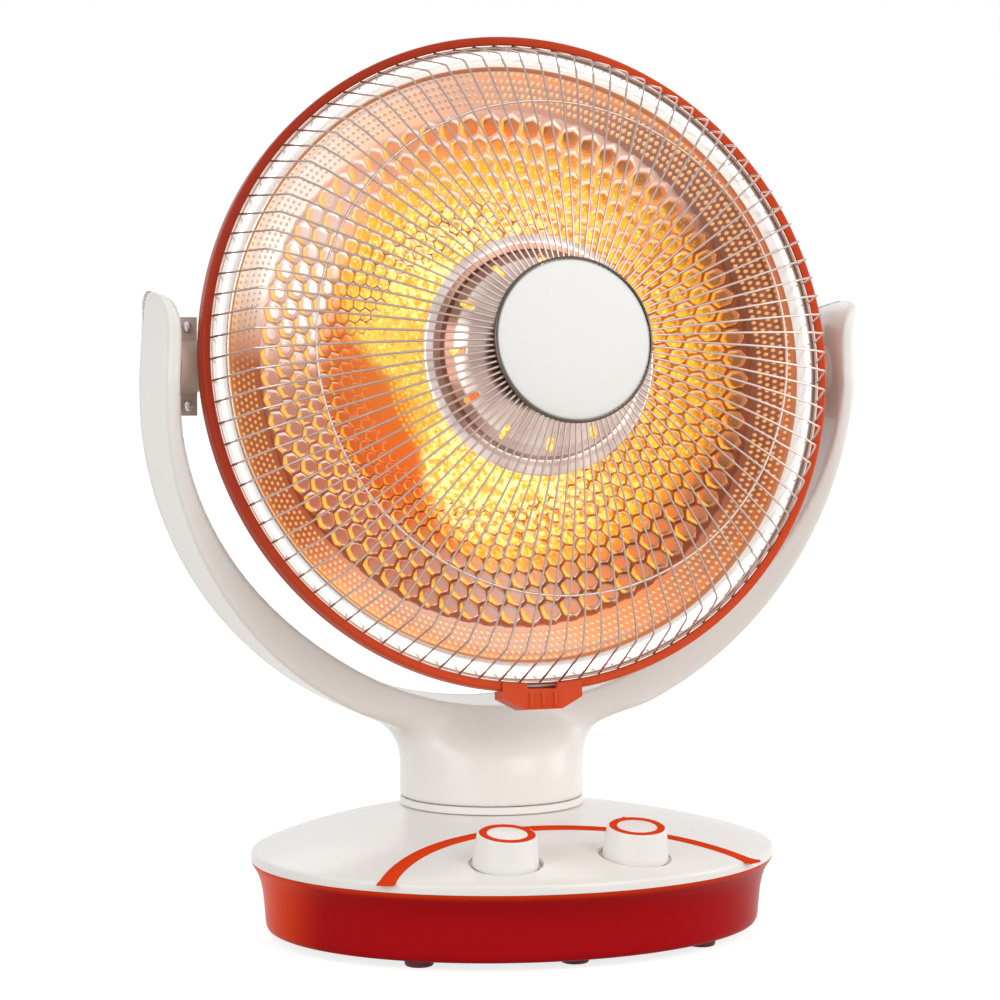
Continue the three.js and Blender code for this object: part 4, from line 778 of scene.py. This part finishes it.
for row in range(row_count):
    outer, inner = row_edges[row], row_edges[row + 1]
    following = zigzag_ring(inner, (outer - inner) / 6, row)
    middle = (outer + inner) / 2
    for cell in range(cell_count):
        j = 2 * cell + (1 if row % 2 == 0 else 0)
        before, after = (j - 1) % columns, (j + 1) % columns
        corners = [border[before], border[j], border[after], following[after], following[j], following[before]]
        hub_angle = 2 * math.pi * j / columns
        hub = Vector((middle * math.cos(hub_angle), middle * math.sin(hub_angle), dish_s(middle))) * MM
        slope = 2 * dish_rise * middle / dish_radius ** 2
        forward = Vector((-slope * math.cos(hub_angle), -slope * math.sin(hub_angle), 1)).normalized()
        last = corners
        for share, rise in cell_course:
            step = []
            for k in range(12):
                c, d = dish_points[corners[k // 2]], dish_points[corners[(k // 2 + 1) % 6]]
                spread = (c - hub) * 0.96 if k % 2 == 0 else (c + d) / 2 - hub
                spread = spread - forward * spread.dot(forward) * min(1, rise)
                on_wall = {0.5: 1.0, 1.4: 1.0, 1.7: 1.0, 1.8: 0.85}.get(rise, 0.0)
                way = spread.normalized()
                step.append(dish_point(
                    hub + spread * share + forward * rise * MM, max(0.0, 1 - rise / 1.6), on_wall * way.dot(to_left),
                    on_wall * way.dot(to_top), share * way.dot(to_upper_right)))
            for k in range(6):
                near, mid, far = step[2 * k], step[2 * k + 1], step[(2 * k + 2) % 12]
                if last is corners:
                    dish_faces.append((corners[k], corners[(k + 1) % 6], far, mid, near))
                else:
                    dish_faces.append((last[2 * k], last[2 * k + 1], mid, near))
                    dish_faces.append((last[2 * k + 1], last[(2 * k + 2) % 12], far, mid))
            last = step
        dish_faces.append(tuple(last))
    border = following
previous = border
dish_wall = 3.4
behind_course = [(24, dish_s(24) - 1.5)] + [(r, dish_s(r) - dish_wall) for r in (30, 60, 90, 120, 150, 172)]
behind_course += [(181.5, 20.5), (188, 24.2)]
for radius, s in [(r, dish_s(r)) for r in (72, 64, 52, 38, 24)] + behind_course:
    ring = dish_ring((radius,), lambda _: s)
    strip(previous, ring)
    previous = ring
strip(previous, outer_ring)
dish_mesh = bpy.data.meshes.new("dish_pressing")
dish_mesh.from_pydata(dish_points, [], dish_faces)
behind_count = columns * len(behind_course)
dish_marks["front"] = [1.0] * (len(dish_points) - behind_count) + [0.0] * behind_count
for label, values in dish_marks.items():
    dish_mesh.attributes.new(label, 'FLOAT', 'POINT').data.foreach_set("value", values)
dish = bpy.data.objects.new("dish_pressing", dish_mesh)
scene.collection.objects.link(dish)
closed_up(dish, 26)


# Places on the head: the distance from the dish's axis, the share of a turn round it and the place along it.
POLAR, _ = grouped("head_polar", (), ("Radius", "Turn", "Forward"))
back = facing.inverted()
centred = node("Mapping", Vector=node("TexCoord").outputs["Object"], Location=back.to_translation(),
               Rotation=back.to_euler())
across, up, ahead = node("SeparateXYZ", Vector=centred.outputs["Vector"]).outputs
flat = node("CombineXYZ", X=across, Y=up)
off_axis = node("VectorMath", {"operation": 'LENGTH'}, Vector=flat.outputs[0])
group_gives(off_axis.outputs["Value"], maths('DIVIDE', maths('ARCTAN2', up, across), 2 * math.pi), ahead)


def polar():
    return node("Group", {"node_tree": POLAR}).outputs[:]


def towards(aim):
    """1 on the side of the head that lies at an angle, and -1 on the side opposite."""
    return maths('COSINE', scaled(turn, 2 * math.pi, -aim))


def ramp(value, stops):
    """A colour ramp over a value, from (place, colour) pairs."""
    new = node("ValToRGB", Fac=value)
    elements = new.color_ramp.elements
    while len(elements) < len(stops):
        elements.new(0.5)
    for element, (place, colour) in zip(elements, stops):
        element.position = place
        element.color = (*colour, 1)
    return new.outputs["Color"]


def dimples(first, pitch, rows, count):
    """Staggered rows of round dots: 1 in a dot's middle, 0 between the dots."""
    row_place = maths('DIVIDE', minus(radius, first), pitch)
    row_part = minus(maths('FRACT', row_place), 0.5)
    stagger = times(maths('MODULO', maths('FLOOR', row_place), 2), 0.5)
    along_part = minus(maths('FRACT', plus(plus(times(turn, count), stagger), count)), 0.5)
    far = maths('SQRT', plus(maths('POWER', row_part, 2), maths('POWER', along_part, 2)))
    inside = times(maths('GREATER_THAN', row_place, 0), maths('LESS_THAN', row_place, rows))
    return times(eased(far, 0.38, 0.1), inside)


def mark(name):
    """A value that the mesh carries at its points."""
    return node("Attribute", {"attribute_name": name}).outputs["Fac"]


# The dish's finish: polished metal, with its reflections of the glow and the room painted into base colour and
# emission.
painted_light_finish = new_finish("dish_painted_light")
radius, turn, _ = polar()
by_radius = maths('DIVIDE', radius, 0.2)
height = maths('SINE', times(turn, 2 * math.pi))
smudge, flicker, sparkle = noise(60), noise(230), noise(420, 1)
# The painted glints, pale walls and valley shade on the facets' edges fade close to the hub on the left,
# where the facets would reflect the element's cold end.
near_left = times(eased(towards(3.4), 0.55, 0.9), eased(radius, 0.116, 0.096))
edge_share = times(scaled(near_left, -0.8, 1.0), eased(radius, 0.078, 0.088))
valley, left_wall, left_tip, top_wall = (times(mask, edge_share) for mask in (
    mark("valley"), eased(mark("left"), 0.3, 0.62), eased(mark("left"), 0.78, 0.95), eased(mark("top"), 0.35, 0.7)))
# Going round from the left, the painted glow's reach, as a share of 200 mm: hardly past the hub there, where the
# element's cold end shows, and far out elsewhere. Heat marks where this painted glow lies on the dish.
round_turn = maths('FRACT', plus(turn, 0.5))
reach = times(ramp(round_turn, [(spot, (share,) * 3) for spot, share in (
    (0.0, 0.32), (0.05, 0.26), (0.12, 0.3), (0.17, 0.46), (0.23, 0.6), (0.32, 0.63), (0.4, 0.66), (0.46, 0.73),
    (0.62, 0.75), (0.76, 0.7), (0.86, 0.66), (0.91, 0.6), (0.95, 0.5), (0.98, 0.39), (1.0, 0.32))]), 0.2)
heat = eased(minus(reach, radius), -0.01, 0.014)
pale = eased(towards(2.5), 0.3, 0.85)
gap = eased(valley, 0.0, 0.4)
over_top = times(eased(height, 0.45, 0.85), eased(radius, 0.1, 0.12))
# Round the dish the painted reflection runs from copper brown at the right to pale at the upper left, in two bands;
# near the hub it turns to a painted orange glow.
cell_tone = ramp(round_turn, [
    (0.0, (0.6, 0.36, 0.28)), (0.08, (0.52, 0.27, 0.2)), (0.17, (0.52, 0.24, 0.17)), (0.25, (0.62, 0.42, 0.37)),
    (0.33, (0.55, 0.25, 0.15)), (0.42, (0.52, 0.2, 0.09)), (0.58, (0.52, 0.2, 0.09)), (0.66, (0.6, 0.22, 0.09)),
    (0.76, (0.68, 0.22, 0.08)), (0.83, (0.76, 0.38, 0.24)), (0.89, (0.82, 0.63, 0.57)), (0.96, (0.8, 0.62, 0.56)),
    (1.0, (0.64, 0.4, 0.32)),
])
band_tone = ramp(round_turn, [
    (0.0, (0.4, 0.14, 0.07)), (0.1, (0.45, 0.17, 0.09)), (0.14, (0.8, 0.46, 0.34)), (0.27, (0.78, 0.48, 0.38)),
    (0.34, (0.68, 0.3, 0.18)), (0.42, (0.4, 0.14, 0.08)), (0.56, (0.4, 0.15, 0.09)), (0.64, (0.56, 0.28, 0.2)),
    (0.76, (0.76, 0.44, 0.33)), (0.82, (0.9, 0.7, 0.58)), (0.88, (0.97, 0.88, 0.8)), (0.955, (0.97, 0.88, 0.8)),
    (0.985, (0.7, 0.4, 0.28)), (1.0, (0.4, 0.14, 0.07)),
])
inner_tone = ramp(by_radius, [
    (0.0, (0.9, 0.55, 0.1)), (0.25, (0.95, 0.5, 0.06)), (0.32, (0.86, 0.28, 0.06)), (0.5, (0.74, 0.2, 0.05)),
    (0.62, (0.6, 0.21, 0.09)),
])
tone = mixed(eased(radius, 0.108, 0.124), inner_tone, mixed(eased(radius, 0.1575, 0.1595), cell_tone, band_tone))
silver = eased(radius, 0.1821, 0.1826)
# Painted shade: the lip inside the silver rim and the valleys between the facets are darkened; at the top the valleys
# are pale instead, as painted reflection.
lip = times(eased(radius, 0.1803, 0.1808), minus(1.0, silver))
gap_tone = mixed(over_top, (0.24, 0.06, 0.025), (0.9, 0.6, 0.5))
tone = mixed(lip, mixed(times(gap, scaled(pale, -0.35, 0.85)), tone, gap_tone), (0.3, 0.12, 0.07))
# In the painted glow's zone the metal is coloured as painted reflection: orange floors, dark brown valleys, pale
# valleys at the top.
glow_zone_tone = mixed(gap, (0.5, 0.22, 0.05), mixed(over_top, (0.3, 0.07, 0.02), (0.8, 0.45, 0.3)))
# Painted reflection: the metal's colour is kept darker away from the pale upper left.
dimmed = mixed(pale, (0.68, 0.68, 0.68), (0.34, 0.34, 0.34))
shown = mixed(1.0, mixed(heat, tone, glow_zone_tone), dimmed, 'MULTIPLY')
front = mark("front")
outer_dots = dimples(0.1624, 0.0037, 5, 272)
inner_dots = dimples(0.0505, 0.0036, 4, 104)
bump = node("Bump", Strength=0.8, Distance=0.0008, Height=plus(outer_dots, inner_dots))
shade(Metallic=1, Roughness=scaled(smudge, 0.12, 0.08), Normal=bump.outputs["Normal"],
      Base_Color=mixed(front, (0.62, 0.6, 0.58), mixed(silver, shown, (0.78, 0.73, 0.69))))
# The painted glow: yellow floors near the element, orange between them, a bright left side on each cooler cell.
# Painted shade darkens each floor's far side, and painted highlights and glints light the top walls, the hub's surround
# and each cell's left tip.
glow_colour = ramp(by_radius, [
    (0.0, (1.0, 0.68, 0.1)), (0.35, (1.0, 0.74, 0.14)), (0.48, (1.0, 0.7, 0.1)), (0.6, (1.0, 0.58, 0.05)),
    (0.72, (0.9, 0.38, 0.03)), (0.78, (0.6, 0.18, 0.02)),
])
lit = times(times(heat, scaled(gap, -0.92, 1.0)), scaled(flicker, 1.7, 0.1))
# Away from the glow the emission paints the room's reflection, fainter away from the pale side, faint white on the
# silver rim and brown in the lip's painted shade.
cool_light = mixed(1.0, tone, mixed(pale, (0.5, 0.5, 0.5), (0.72, 0.72, 0.72)), 'MULTIPLY')
cool_light = mixed(silver, mixed(lip, cool_light, (0.34, 0.15, 0.08)), (0.15, 0.135, 0.125))
glow = mixed(heat, cool_light, mixed(over_top, (0.3, 0.055, 0.006), (0.75, 0.38, 0.22)))
glow = mixed(lit, glow, glow_colour)
shaded = times(times(eased(mark("across"), -0.1, 0.38), heat), scaled(pale, -0.55, 0.85))
shaded = times(shaded, times(edge_share, eased(radius, 0.07, 0.095)))
glow = mixed(shaded, glow, (0.56, 0.15, 0.018))
glow = mixed(times(times(heat, eased(sparkle, 0.56, 0.7)), minus(1.0, valley)), glow, (0.5, 0.45, 0.2), 'ADD')
pale_side = times(top_wall, eased(towards(2.4), -0.35, 0.3))
glow = mixed(times(pale_side, 0.85), glow, (0.9, 0.8, 0.73))
near_white = times(times(heat, eased(maths('ABSOLUTE', height), 0.45, 0.95)), eased(radius, 0.128, 0.085))
glow = mixed(times(near_white, eased(flicker, 0.42, 0.62)), glow, (0.75, 0.7, 0.4), 'ADD')
glow = mixed(times(times(top_wall, heat), 0.5), glow, (1.0, 0.85, 0.5))
glow = mixed(times(left_wall, scaled(heat, -0.4, 0.85)), glow, (1.0, 0.56, 0.045))
# Painted glints in the dimples: yellow round most of the dish and brown dots on the pale upper left; the inner dimples
# glint yellow.
dot_light = mixed(eased(towards(2.42), 0.68, 0.8), (1.0, 0.6, 0.18), (0.3, 0.16, 0.1))
glow = mixed(times(outer_dots, 0.8), glow, dot_light)
glow = mixed(times(inner_dots, 0.6), glow, (1.0, 0.6, 0.06))
glow = mixed(times(left_tip, scaled(heat, 0.6, 0.2)), glow, (1.0, 0.88, 0.5))
shade(Emission_Color=mixed(front, (0.0, 0.0, 0.0), glow), Emission_Strength=0.9)
fit(placed(dish, facing), "head", painted_light_finish, "dish_aluminium", "reflector")


# Heating element: a ribbed ceramic core on a ceramic base, with a resistance wire wound round it.
# The wire glows orange; the core behind it and the base carry a painted glow, as its light on them.
def glowing(name, colour, light, strength, scale):
    """A glowing surface, a little brighter in some places than others, and cool towards the back of the head: the hot
    wire's own light, or a painted glow where the element lights a part.
    """
    finish = new_finish(name)
    spots = noise(scale)
    warm = eased(polar()[2], 0.022, 0.045)
    hot_light = ramp(spots, [(0.3, light), (0.75, [c * 0.75 for c in light])])
    shade(Roughness=0.6, Emission_Strength=strength, Emission_Color=mixed(warm, (0.2, 0.04, 0.004), hot_light),
          Base_Color=ramp(spots, [(0.3, colour), (0.7, [c * 0.8 for c in colour])]))
    return finish


hot_wire = glowing("hot_wire", (0.5, 0.2, 0.1), (1.0, 0.42, 0.05), 2.4, 120)
painted_glow_ceramic = glowing("painted_glow_ceramic", (0.8, 0.68, 0.5), (1.0, 0.3, 0.02), 0.9, 60)
base_profile = [
    (3.3, -58.0), (32, -58.0), (32, -56), (29, -55.2), (24.2, -54.9), (23.5, -54.5), (23.5, -50.2), (3.3, -50.0),
]
element_seat = placed(turned("element_seat", base_profile, 64), facing)
fit(element_seat, "head", painted_glow_ceramic, "ceramic", "element_base")
core_low_s, core_length, core_radius, core_taper, rib_count, rib_depth = -49.9, 120.9, 21, 4, 60, 0.6
core_profile = [(3.3, core_low_s)]
for i in range(rib_count + 1):
    share = i / rib_count
    ribbed = core_radius - core_taper * share - (rib_depth if i % 2 else 0.0)
    core_profile.append((ribbed, core_low_s + core_length * share))
core_profile.append((3.3, core_low_s + core_length))
core = placed(turned("ribbed_core", core_profile, 64), facing)
fit(core, "head", painted_glow_ceramic, "ceramic", "ceramic_core")


def wire_path(name, points, radius, resolution=1):
    """A loop of vertices is moved to the path and opened, and a round bevel turns it to wire."""
    bpy.ops.object.select_all(action='DESELECT')
    bpy.ops.mesh.primitive_circle_add(vertices=len(points), radius=1)
    piece = pick(name)
    for corner, point in zip(piece.data.vertices, points):
        corner.co = Vector(point) * MM
    last = len(points) - 1
    bpy.ops.object.mode_set(mode='EDIT')
    bpy.ops.mesh.select_all(action='DESELECT')
    bpy.ops.object.mode_set(mode='OBJECT')
    for edge in piece.data.edges:
        edge.select = set(edge.vertices) == {0, last}
    bpy.ops.object.mode_set(mode='EDIT')
    bpy.ops.mesh.select_mode(type='EDGE')
    bpy.ops.mesh.delete(type='EDGE')
    bpy.ops.object.mode_set(mode='OBJECT')
    bpy.ops.object.convert(target='CURVE')
    piece.data.bevel_depth = radius * MM
    piece.data.bevel_resolution = resolution
    piece.data.use_fill_caps = True
    bpy.ops.object.convert(target='MESH')
    smoothed(50)
    return bpy.context.object


coil_turns, turn_steps, coil_low_s, coil_length, coil_lift, coil_wire = 8, 24, -32, 87, 2.3, 1.7
coil_points = []
for i in range(coil_turns * turn_steps + 1):
    s = coil_low_s + coil_length * i / (coil_turns * turn_steps)
    wound = core_radius - core_taper * (s - core_low_s) / core_length + coil_lift
    angle = 2 * math.pi * i / turn_steps
    coil_points.append((wound * math.cos(angle), wound * math.sin(angle), s))
coil = placed(wire_path("wound_wire", coil_points, coil_wire, 2), facing)
fit(coil, "head", hot_wire, "heating_wire", "heating_coil")


# Front shield: a polished steel cap over the element, spun with a rolled rim.
# A slot in each of its twelve facets lets the glow out; the facets themselves are painted shade, lighter and darker
# sectors on its round face.
shield_profile = [
    (3.3, 75.5), (34, 75.5), (36, 75.3), (49, 71.4), (50, 70.9), (61, 64.0), (61.8, 63.2), (62.4, 60.5), (63.6, 58.6),
    (71.0, 58.0), (72.2, 57.4), (72.8, 56.5), (72.4, 55.6), (71.4, 55.5), (70.6, 56.3), (63, 57.5),
    (61.6, 58.5), (60.6, 62.3), (48.5, 70.2), (36, 74.3), (3.3, 74.4),
]
shield = turned("spun_shield", shield_profile, 144)
for i in range(12):
    slot = bevelled(box_piece("slot", (51, -2.4, 55), (59.5, 2.4, 76)), 2.0, 3)
    combined(shield, placed(slot, Matrix.Rotation(math.radians(30 * i), 4, 'Z')), 'DIFFERENCE')
smoothed(30)
chrome = new_finish("shield_polish")
radius, turn, _ = polar()
# Painted shade: twelve sectors, alternately lighter and darker, stand for the facets; the streaks are the metal's own.
panels = maths('ABSOLUTE', minus(maths('FRACT', scaled(turn, 12, 12.25)), 0.5))
streaks = node("TexNoise", {"noise_dimensions": '1D'}, W=times(turn, 90), Detail=3).outputs["Fac"]
# Painted highlights: a narrow bright ring and the bright rolled rim, with a dark band of painted shade between them.
spun = ramp(maths('DIVIDE', radius, 0.0728), [
    (0.0, (0.78, 0.7, 0.66)), (0.68, (0.72, 0.62, 0.57)), (0.75, (0.9, 0.8, 0.75)), (0.77, (0.95, 0.87, 0.83)),
    (0.79, (0.4, 0.22, 0.16)), (0.88, (0.36, 0.2, 0.15)), (0.92, (0.45, 0.28, 0.23)), (0.932, (0.98, 0.9, 0.88)),
    (1.0, (0.98, 0.93, 0.92)),
])
# Painted reflection: the shield is paler and pinker on its lower right.
spun = mixed(times(eased(towards(-0.7), -0.35, 0.4), 0.8), spun, (0.8, 0.7, 0.66))
streaks_and_facet_shade = maths('MINIMUM', plus(times(panels, 0.9), times(streaks, 0.7)), 1.0)
shade(Metallic=1, Roughness=scaled(streaks, 0.15, 0.1),
      Base_Color=mixed(streaks_and_facet_shade, mixed(1.0, spun, (0.55, 0.48, 0.45), 'MULTIPLY'), spun))
fit(placed(shield, facing), "head", chrome, "shield_chrome", "front_shield")
# Painted glow: the shield's faces that look back into the dish take the element's light as emission.
lit_back = glowing("lit_back", (0.8, 0.6, 0.4), (1.0, 0.5, 0.05), 1.2, 80)
shield.data.materials.append(lit_back)
ahead = facing.to_3x3() @ Vector((0, 0, 1))
for face in shield.data.polygons:
    if face.normal.dot(ahead) < -0.3:
        face.material_index = 1


# Wire grille: 96 drawn wires welded to three rings.
# They bend over a round shoulder and run back behind the hoop.
bright_wire = metal("bright_wire", (0.54, 0.43, 0.39), 0.24, 200)
dome_radius, dome_edge_radius, dome_edge_s = 426, 178.6, 76
wire_count, wire_radius = 96, 0.68


def dome_s(r):
    """How far forward the dome stands at a distance from its axis."""
    return dome_edge_s + math.sqrt(dome_radius ** 2 - r ** 2) - math.sqrt(dome_radius ** 2 - dome_edge_radius ** 2)


wire_points = [(r, 0, dome_s(r)) for r in (42, 56, 70, 84, 98, 112, 126, 140, 152, 162, 169)]
wire_points += [(173.6, 0, 76.7), (176.6, 0, 75.6), (178.7, 0, 73.6), (180.0, 0, 70.6), (181.2, 0, 67.2)]
wire_points += [(184.0, 0, 59.3), (188.4, 0, 46.9), (192.8, 0, 34.4), (194.2, 0, 30.3)]
grille = wire_path("grille_wires", wire_points, wire_radius)
edit_all()
bpy.ops.mesh.spin(steps=wire_count - 1, angle=2 * math.pi * (1 - 1 / wire_count), dupli=True, center=(0, 0, 0),
                  axis=(0, 0, 1))
bpy.ops.object.mode_set(mode='OBJECT')


def ring_of_wire(name, radius, s, wire, steps=192):
    angles = [2 * math.pi * k / 10 for k in range(10)]
    return turned(name, [(radius + wire * math.cos(a), s + wire * math.sin(a)) for a in angles], steps, 60)


for radius, s, wire in ((43, dome_s(43), 1.1), (145.9, dome_s(145.9) - 0.6, 0.8), (194.2, 29.9, 1.3)):
    extra = ring_of_wire("ring", radius, s, wire)
    bpy.ops.object.select_all(action='DESELECT')
    extra.select_set(True)
    grille.select_set(True)
    bpy.context.view_layer.objects.active = grille
    bpy.ops.object.join()
fit(placed(grille, facing), "head", bright_wire, "wire_chrome", "wire_grille")


# Hoop: an orange painted channel, rolled from sheet.
# It clamps the grille, the reflector and the shell together, and a notch is cut for the clip.
orange_paint = plastic("orange_paint", (0.66, 0.07, 0.016), (0.56, 0.05, 0.012), 0.3, 500, 0.04, shine=0.12)
hoop_profile = [
    (194.9, 31.9), (196.2, 32.5), (198.2, 33.0), (199.3, 32.5), (199.9, 31.3), (200, 29.5), (200, 20.8), (199.5, 20.1),
    (194.2, 20), (194.2, 22), (197.8, 22), (197.8, 30.8), (194.9, 30.8),
]


def notch():
    return box_piece("notch", (-9.4, -198.3, 28.6), (9.4, -191.5, 38))


hoop = combined(turned("clamp_hoop", hoop_profile, 240, 35), notch(), 'DIFFERENCE')
turn = polar()[1]
# Painted shade: the hoop darkens towards its upper left, where less light falls.
tinted(times(eased(towards(2.7), -0.2, 0.9), 0.85), (0.33, 0.027, 0.01))
fit(placed(hoop, facing), "head", orange_paint, "orange_paint", "hoop")


# Hoop clip: the ribbed orange block that draws the hoop's two ends together at the bottom.
# It hangs under the hoop and laps over its face, and one notch is cut through both.
clip_half, rib_pitch, rib_half = 25, 7.7, 1.1


def slab(name, inner, s_low, s_high):
    """The clip's outline, down from a radius, filled and extruded forward."""
    outline = [(clip_half, -203.5), (12, -210.4), (-12, -210.4), (-clip_half, -203.5)]
    for i in range(17):
        angle = math.asin(clip_half / inner) * (2 * i / 16 - 1)
        outline.append((inner * math.sin(angle), -inner * math.cos(angle)))
    bpy.ops.object.select_all(action='DESELECT')
    bpy.ops.mesh.primitive_circle_add(vertices=len(outline), radius=1, fill_type='NGON')
    piece = pick(name)
    for corner, (x, y) in zip(piece.data.vertices, outline):
        corner.co = Vector((x, y, s_low)) * MM
    edit_all()
    bpy.ops.mesh.extrude_region_move(TRANSFORM_OT_translate={"value": (0, 0, (s_high - s_low) * MM)})
    bpy.ops.object.mode_set(mode='OBJECT')
    closed_up(piece, 30)
    return piece


clip = combined(slab("ribbed_clip", 200.3, 19, 35.5), slab("lap", 195.1, 33.3, 35.5), 'UNION')
for rib_x in (-rib_pitch, 0, rib_pitch):
    combined(clip, box_piece("rib", (rib_x - rib_half, -209.3, 34.4), (rib_x + rib_half, -200.3, 36.6)), 'UNION')
combined(clip, notch(), 'DIFFERENCE')
bevelled(clip, 0.35, 2, 30)
fit(placed(clip, facing), "head", orange_paint, "orange_plastic", "hoop_clip")


# Grille cap: a white moulded disc, slightly domed, on the grille's inner ring.
# A ring of chrome is pressed round its edge; its dark colour is painted shade at the cap's edge.
cap_base = dome_s(45.2) + 1.3
cap_profile = [(r, cap_base + rise) for r, rise in (
    (0, 6.2), (12, 6.0), (24, 5.3), (34, 4.2), (42, 2.7), (45.4, 1.8), (46.4, 1.2), (46.8, 0.4), (46.8, 0), (45.2, 0),
    (45.2, 1.0), (0, 1.2))]
cap_white = plastic("cap_white", (0.87, 0.88, 0.87), (0.85, 0.855, 0.84), 0.4, 900, 0.015, shine=0.1)
cap = placed(turned("domed_cap", cap_profile, 144, 50), facing)
fit(cap, "head", cap_white, "white_plastic", "grille_cap")
trim_profile = [(r, cap_base + rise) for r, rise in (
    (47.1, 0), (48.1, 0), (48.5, 0.4), (48.4, 1.3), (47.8, 2.0), (47.1, 2.1))]
# The ring is real chrome; its dark colour is painted shade.
shade_dark_chrome = metal("shade_dark_chrome", (0.13, 0.11, 0.1), 0.2, 120)
trim = placed(turned("cap_trim", trim_profile, 144, 50), facing)
fit(trim, "head", shade_dark_chrome, "shield_chrome", "cap_ring")


# Knobs: white moulded drums that taper to a flat top, on shafts that stand square to the panel.
# An orange ring with a pointer nib is let into each top.
knob_profile = [
    (0, 9.05), (3.3, 9.05), (3.3, -2.2), (18.9, -2.2), (19.4, -1.7), (19.3, 0.6), (17.6, 15.8), (17.4, 16.6),
    (17.2, 17.1), (16.9, 17.4), (16.4, 17.45), (16.4, 16.4), (11.8, 16.4), (11.8, 17.45), (11.4, 17.5), (0, 17.5),
]


ring_inner, ring_outer, ring_low, ring_high, ring_ease, nib_reach, nib_half = 12.2, 16.05, 16.7, 17.8, 0.15, 1.9, 1.6


def pointer_ring(name, pointer):
    """A flat ring with eased edges, whose outer edge runs out to a nib at the pointer's angle."""
    rings = []
    for i in range(120):
        angle = pointer + 2 * math.pi * i / 120
        away = abs(math.remainder(angle - pointer, 2 * math.pi)) * 16
        outer = ring_outer + nib_reach * max(0.0, 1 - away / nib_half)
        ring = [(ring_inner, ring_low), (ring_inner, ring_high - ring_ease), (ring_inner + ring_ease, ring_high),
                (outer - ring_ease, ring_high), (outer, ring_high - ring_ease), (outer, ring_low)]
        rings.append([(r * math.cos(angle), r * math.sin(angle), z) for r, z in ring])
    return skinned(name, rings, True)


for side, label, pointer in ((-1, "heat", 23), (1, "timer", 97)):
    drum = placed(turned(f"{label}_drum", knob_profile, 120, 32), at_knob(side))
    fit(drum, f"{label}_knob", white_gloss, "white_plastic", f"{label}_knob")
    ring = placed(pointer_ring(f"{label}_pointer", math.radians(pointer)), at_knob(side))
    fit(ring, f"{label}_knob", orange_gloss, "orange_plastic", f"{label}_knob_ring")


# Inner parts: the drive, switches, terminals and fixings keep their CAD shapes.
# Each takes the finish of its material: black moulding, cast iron, bright steel or ceramic.
cast_iron = metal("cast_iron", (0.2, 0.2, 0.21), 0.5, 400)
black_moulding = plastic("black_moulding", (0.02, 0.02, 0.022), (0.04, 0.04, 0.043), 0.35, 700, 0.08)
pale_ceramic = plastic("pale_ceramic", (0.75, 0.7, 0.62), (0.66, 0.6, 0.5), 0.5, 500, 0.1)
for finish, names in (
    (black_moulding, ("bottom_cover", "tip_switch", "crank_disc", "spindle_bush", "heat_switch", "cap_retainer")),
    (cast_iron, ("ballast_plate",)),
    (bright_steel, ("tip_plunger", "swing_motor", "drive_link", "swing_lever", "column_spindle", "clip_screw",
                    "core_stud", "stud_nut", "stud_spacer", "thermal_cutout", "heat_shaft", "timer_shaft",
                    "timer_movement")),
    (pale_ceramic, ("head_terminal_block", "base_terminal_block")),
):
    for name in names:
        nodes[name].data.materials.clear()
        nodes[name].data.materials.append(finish)
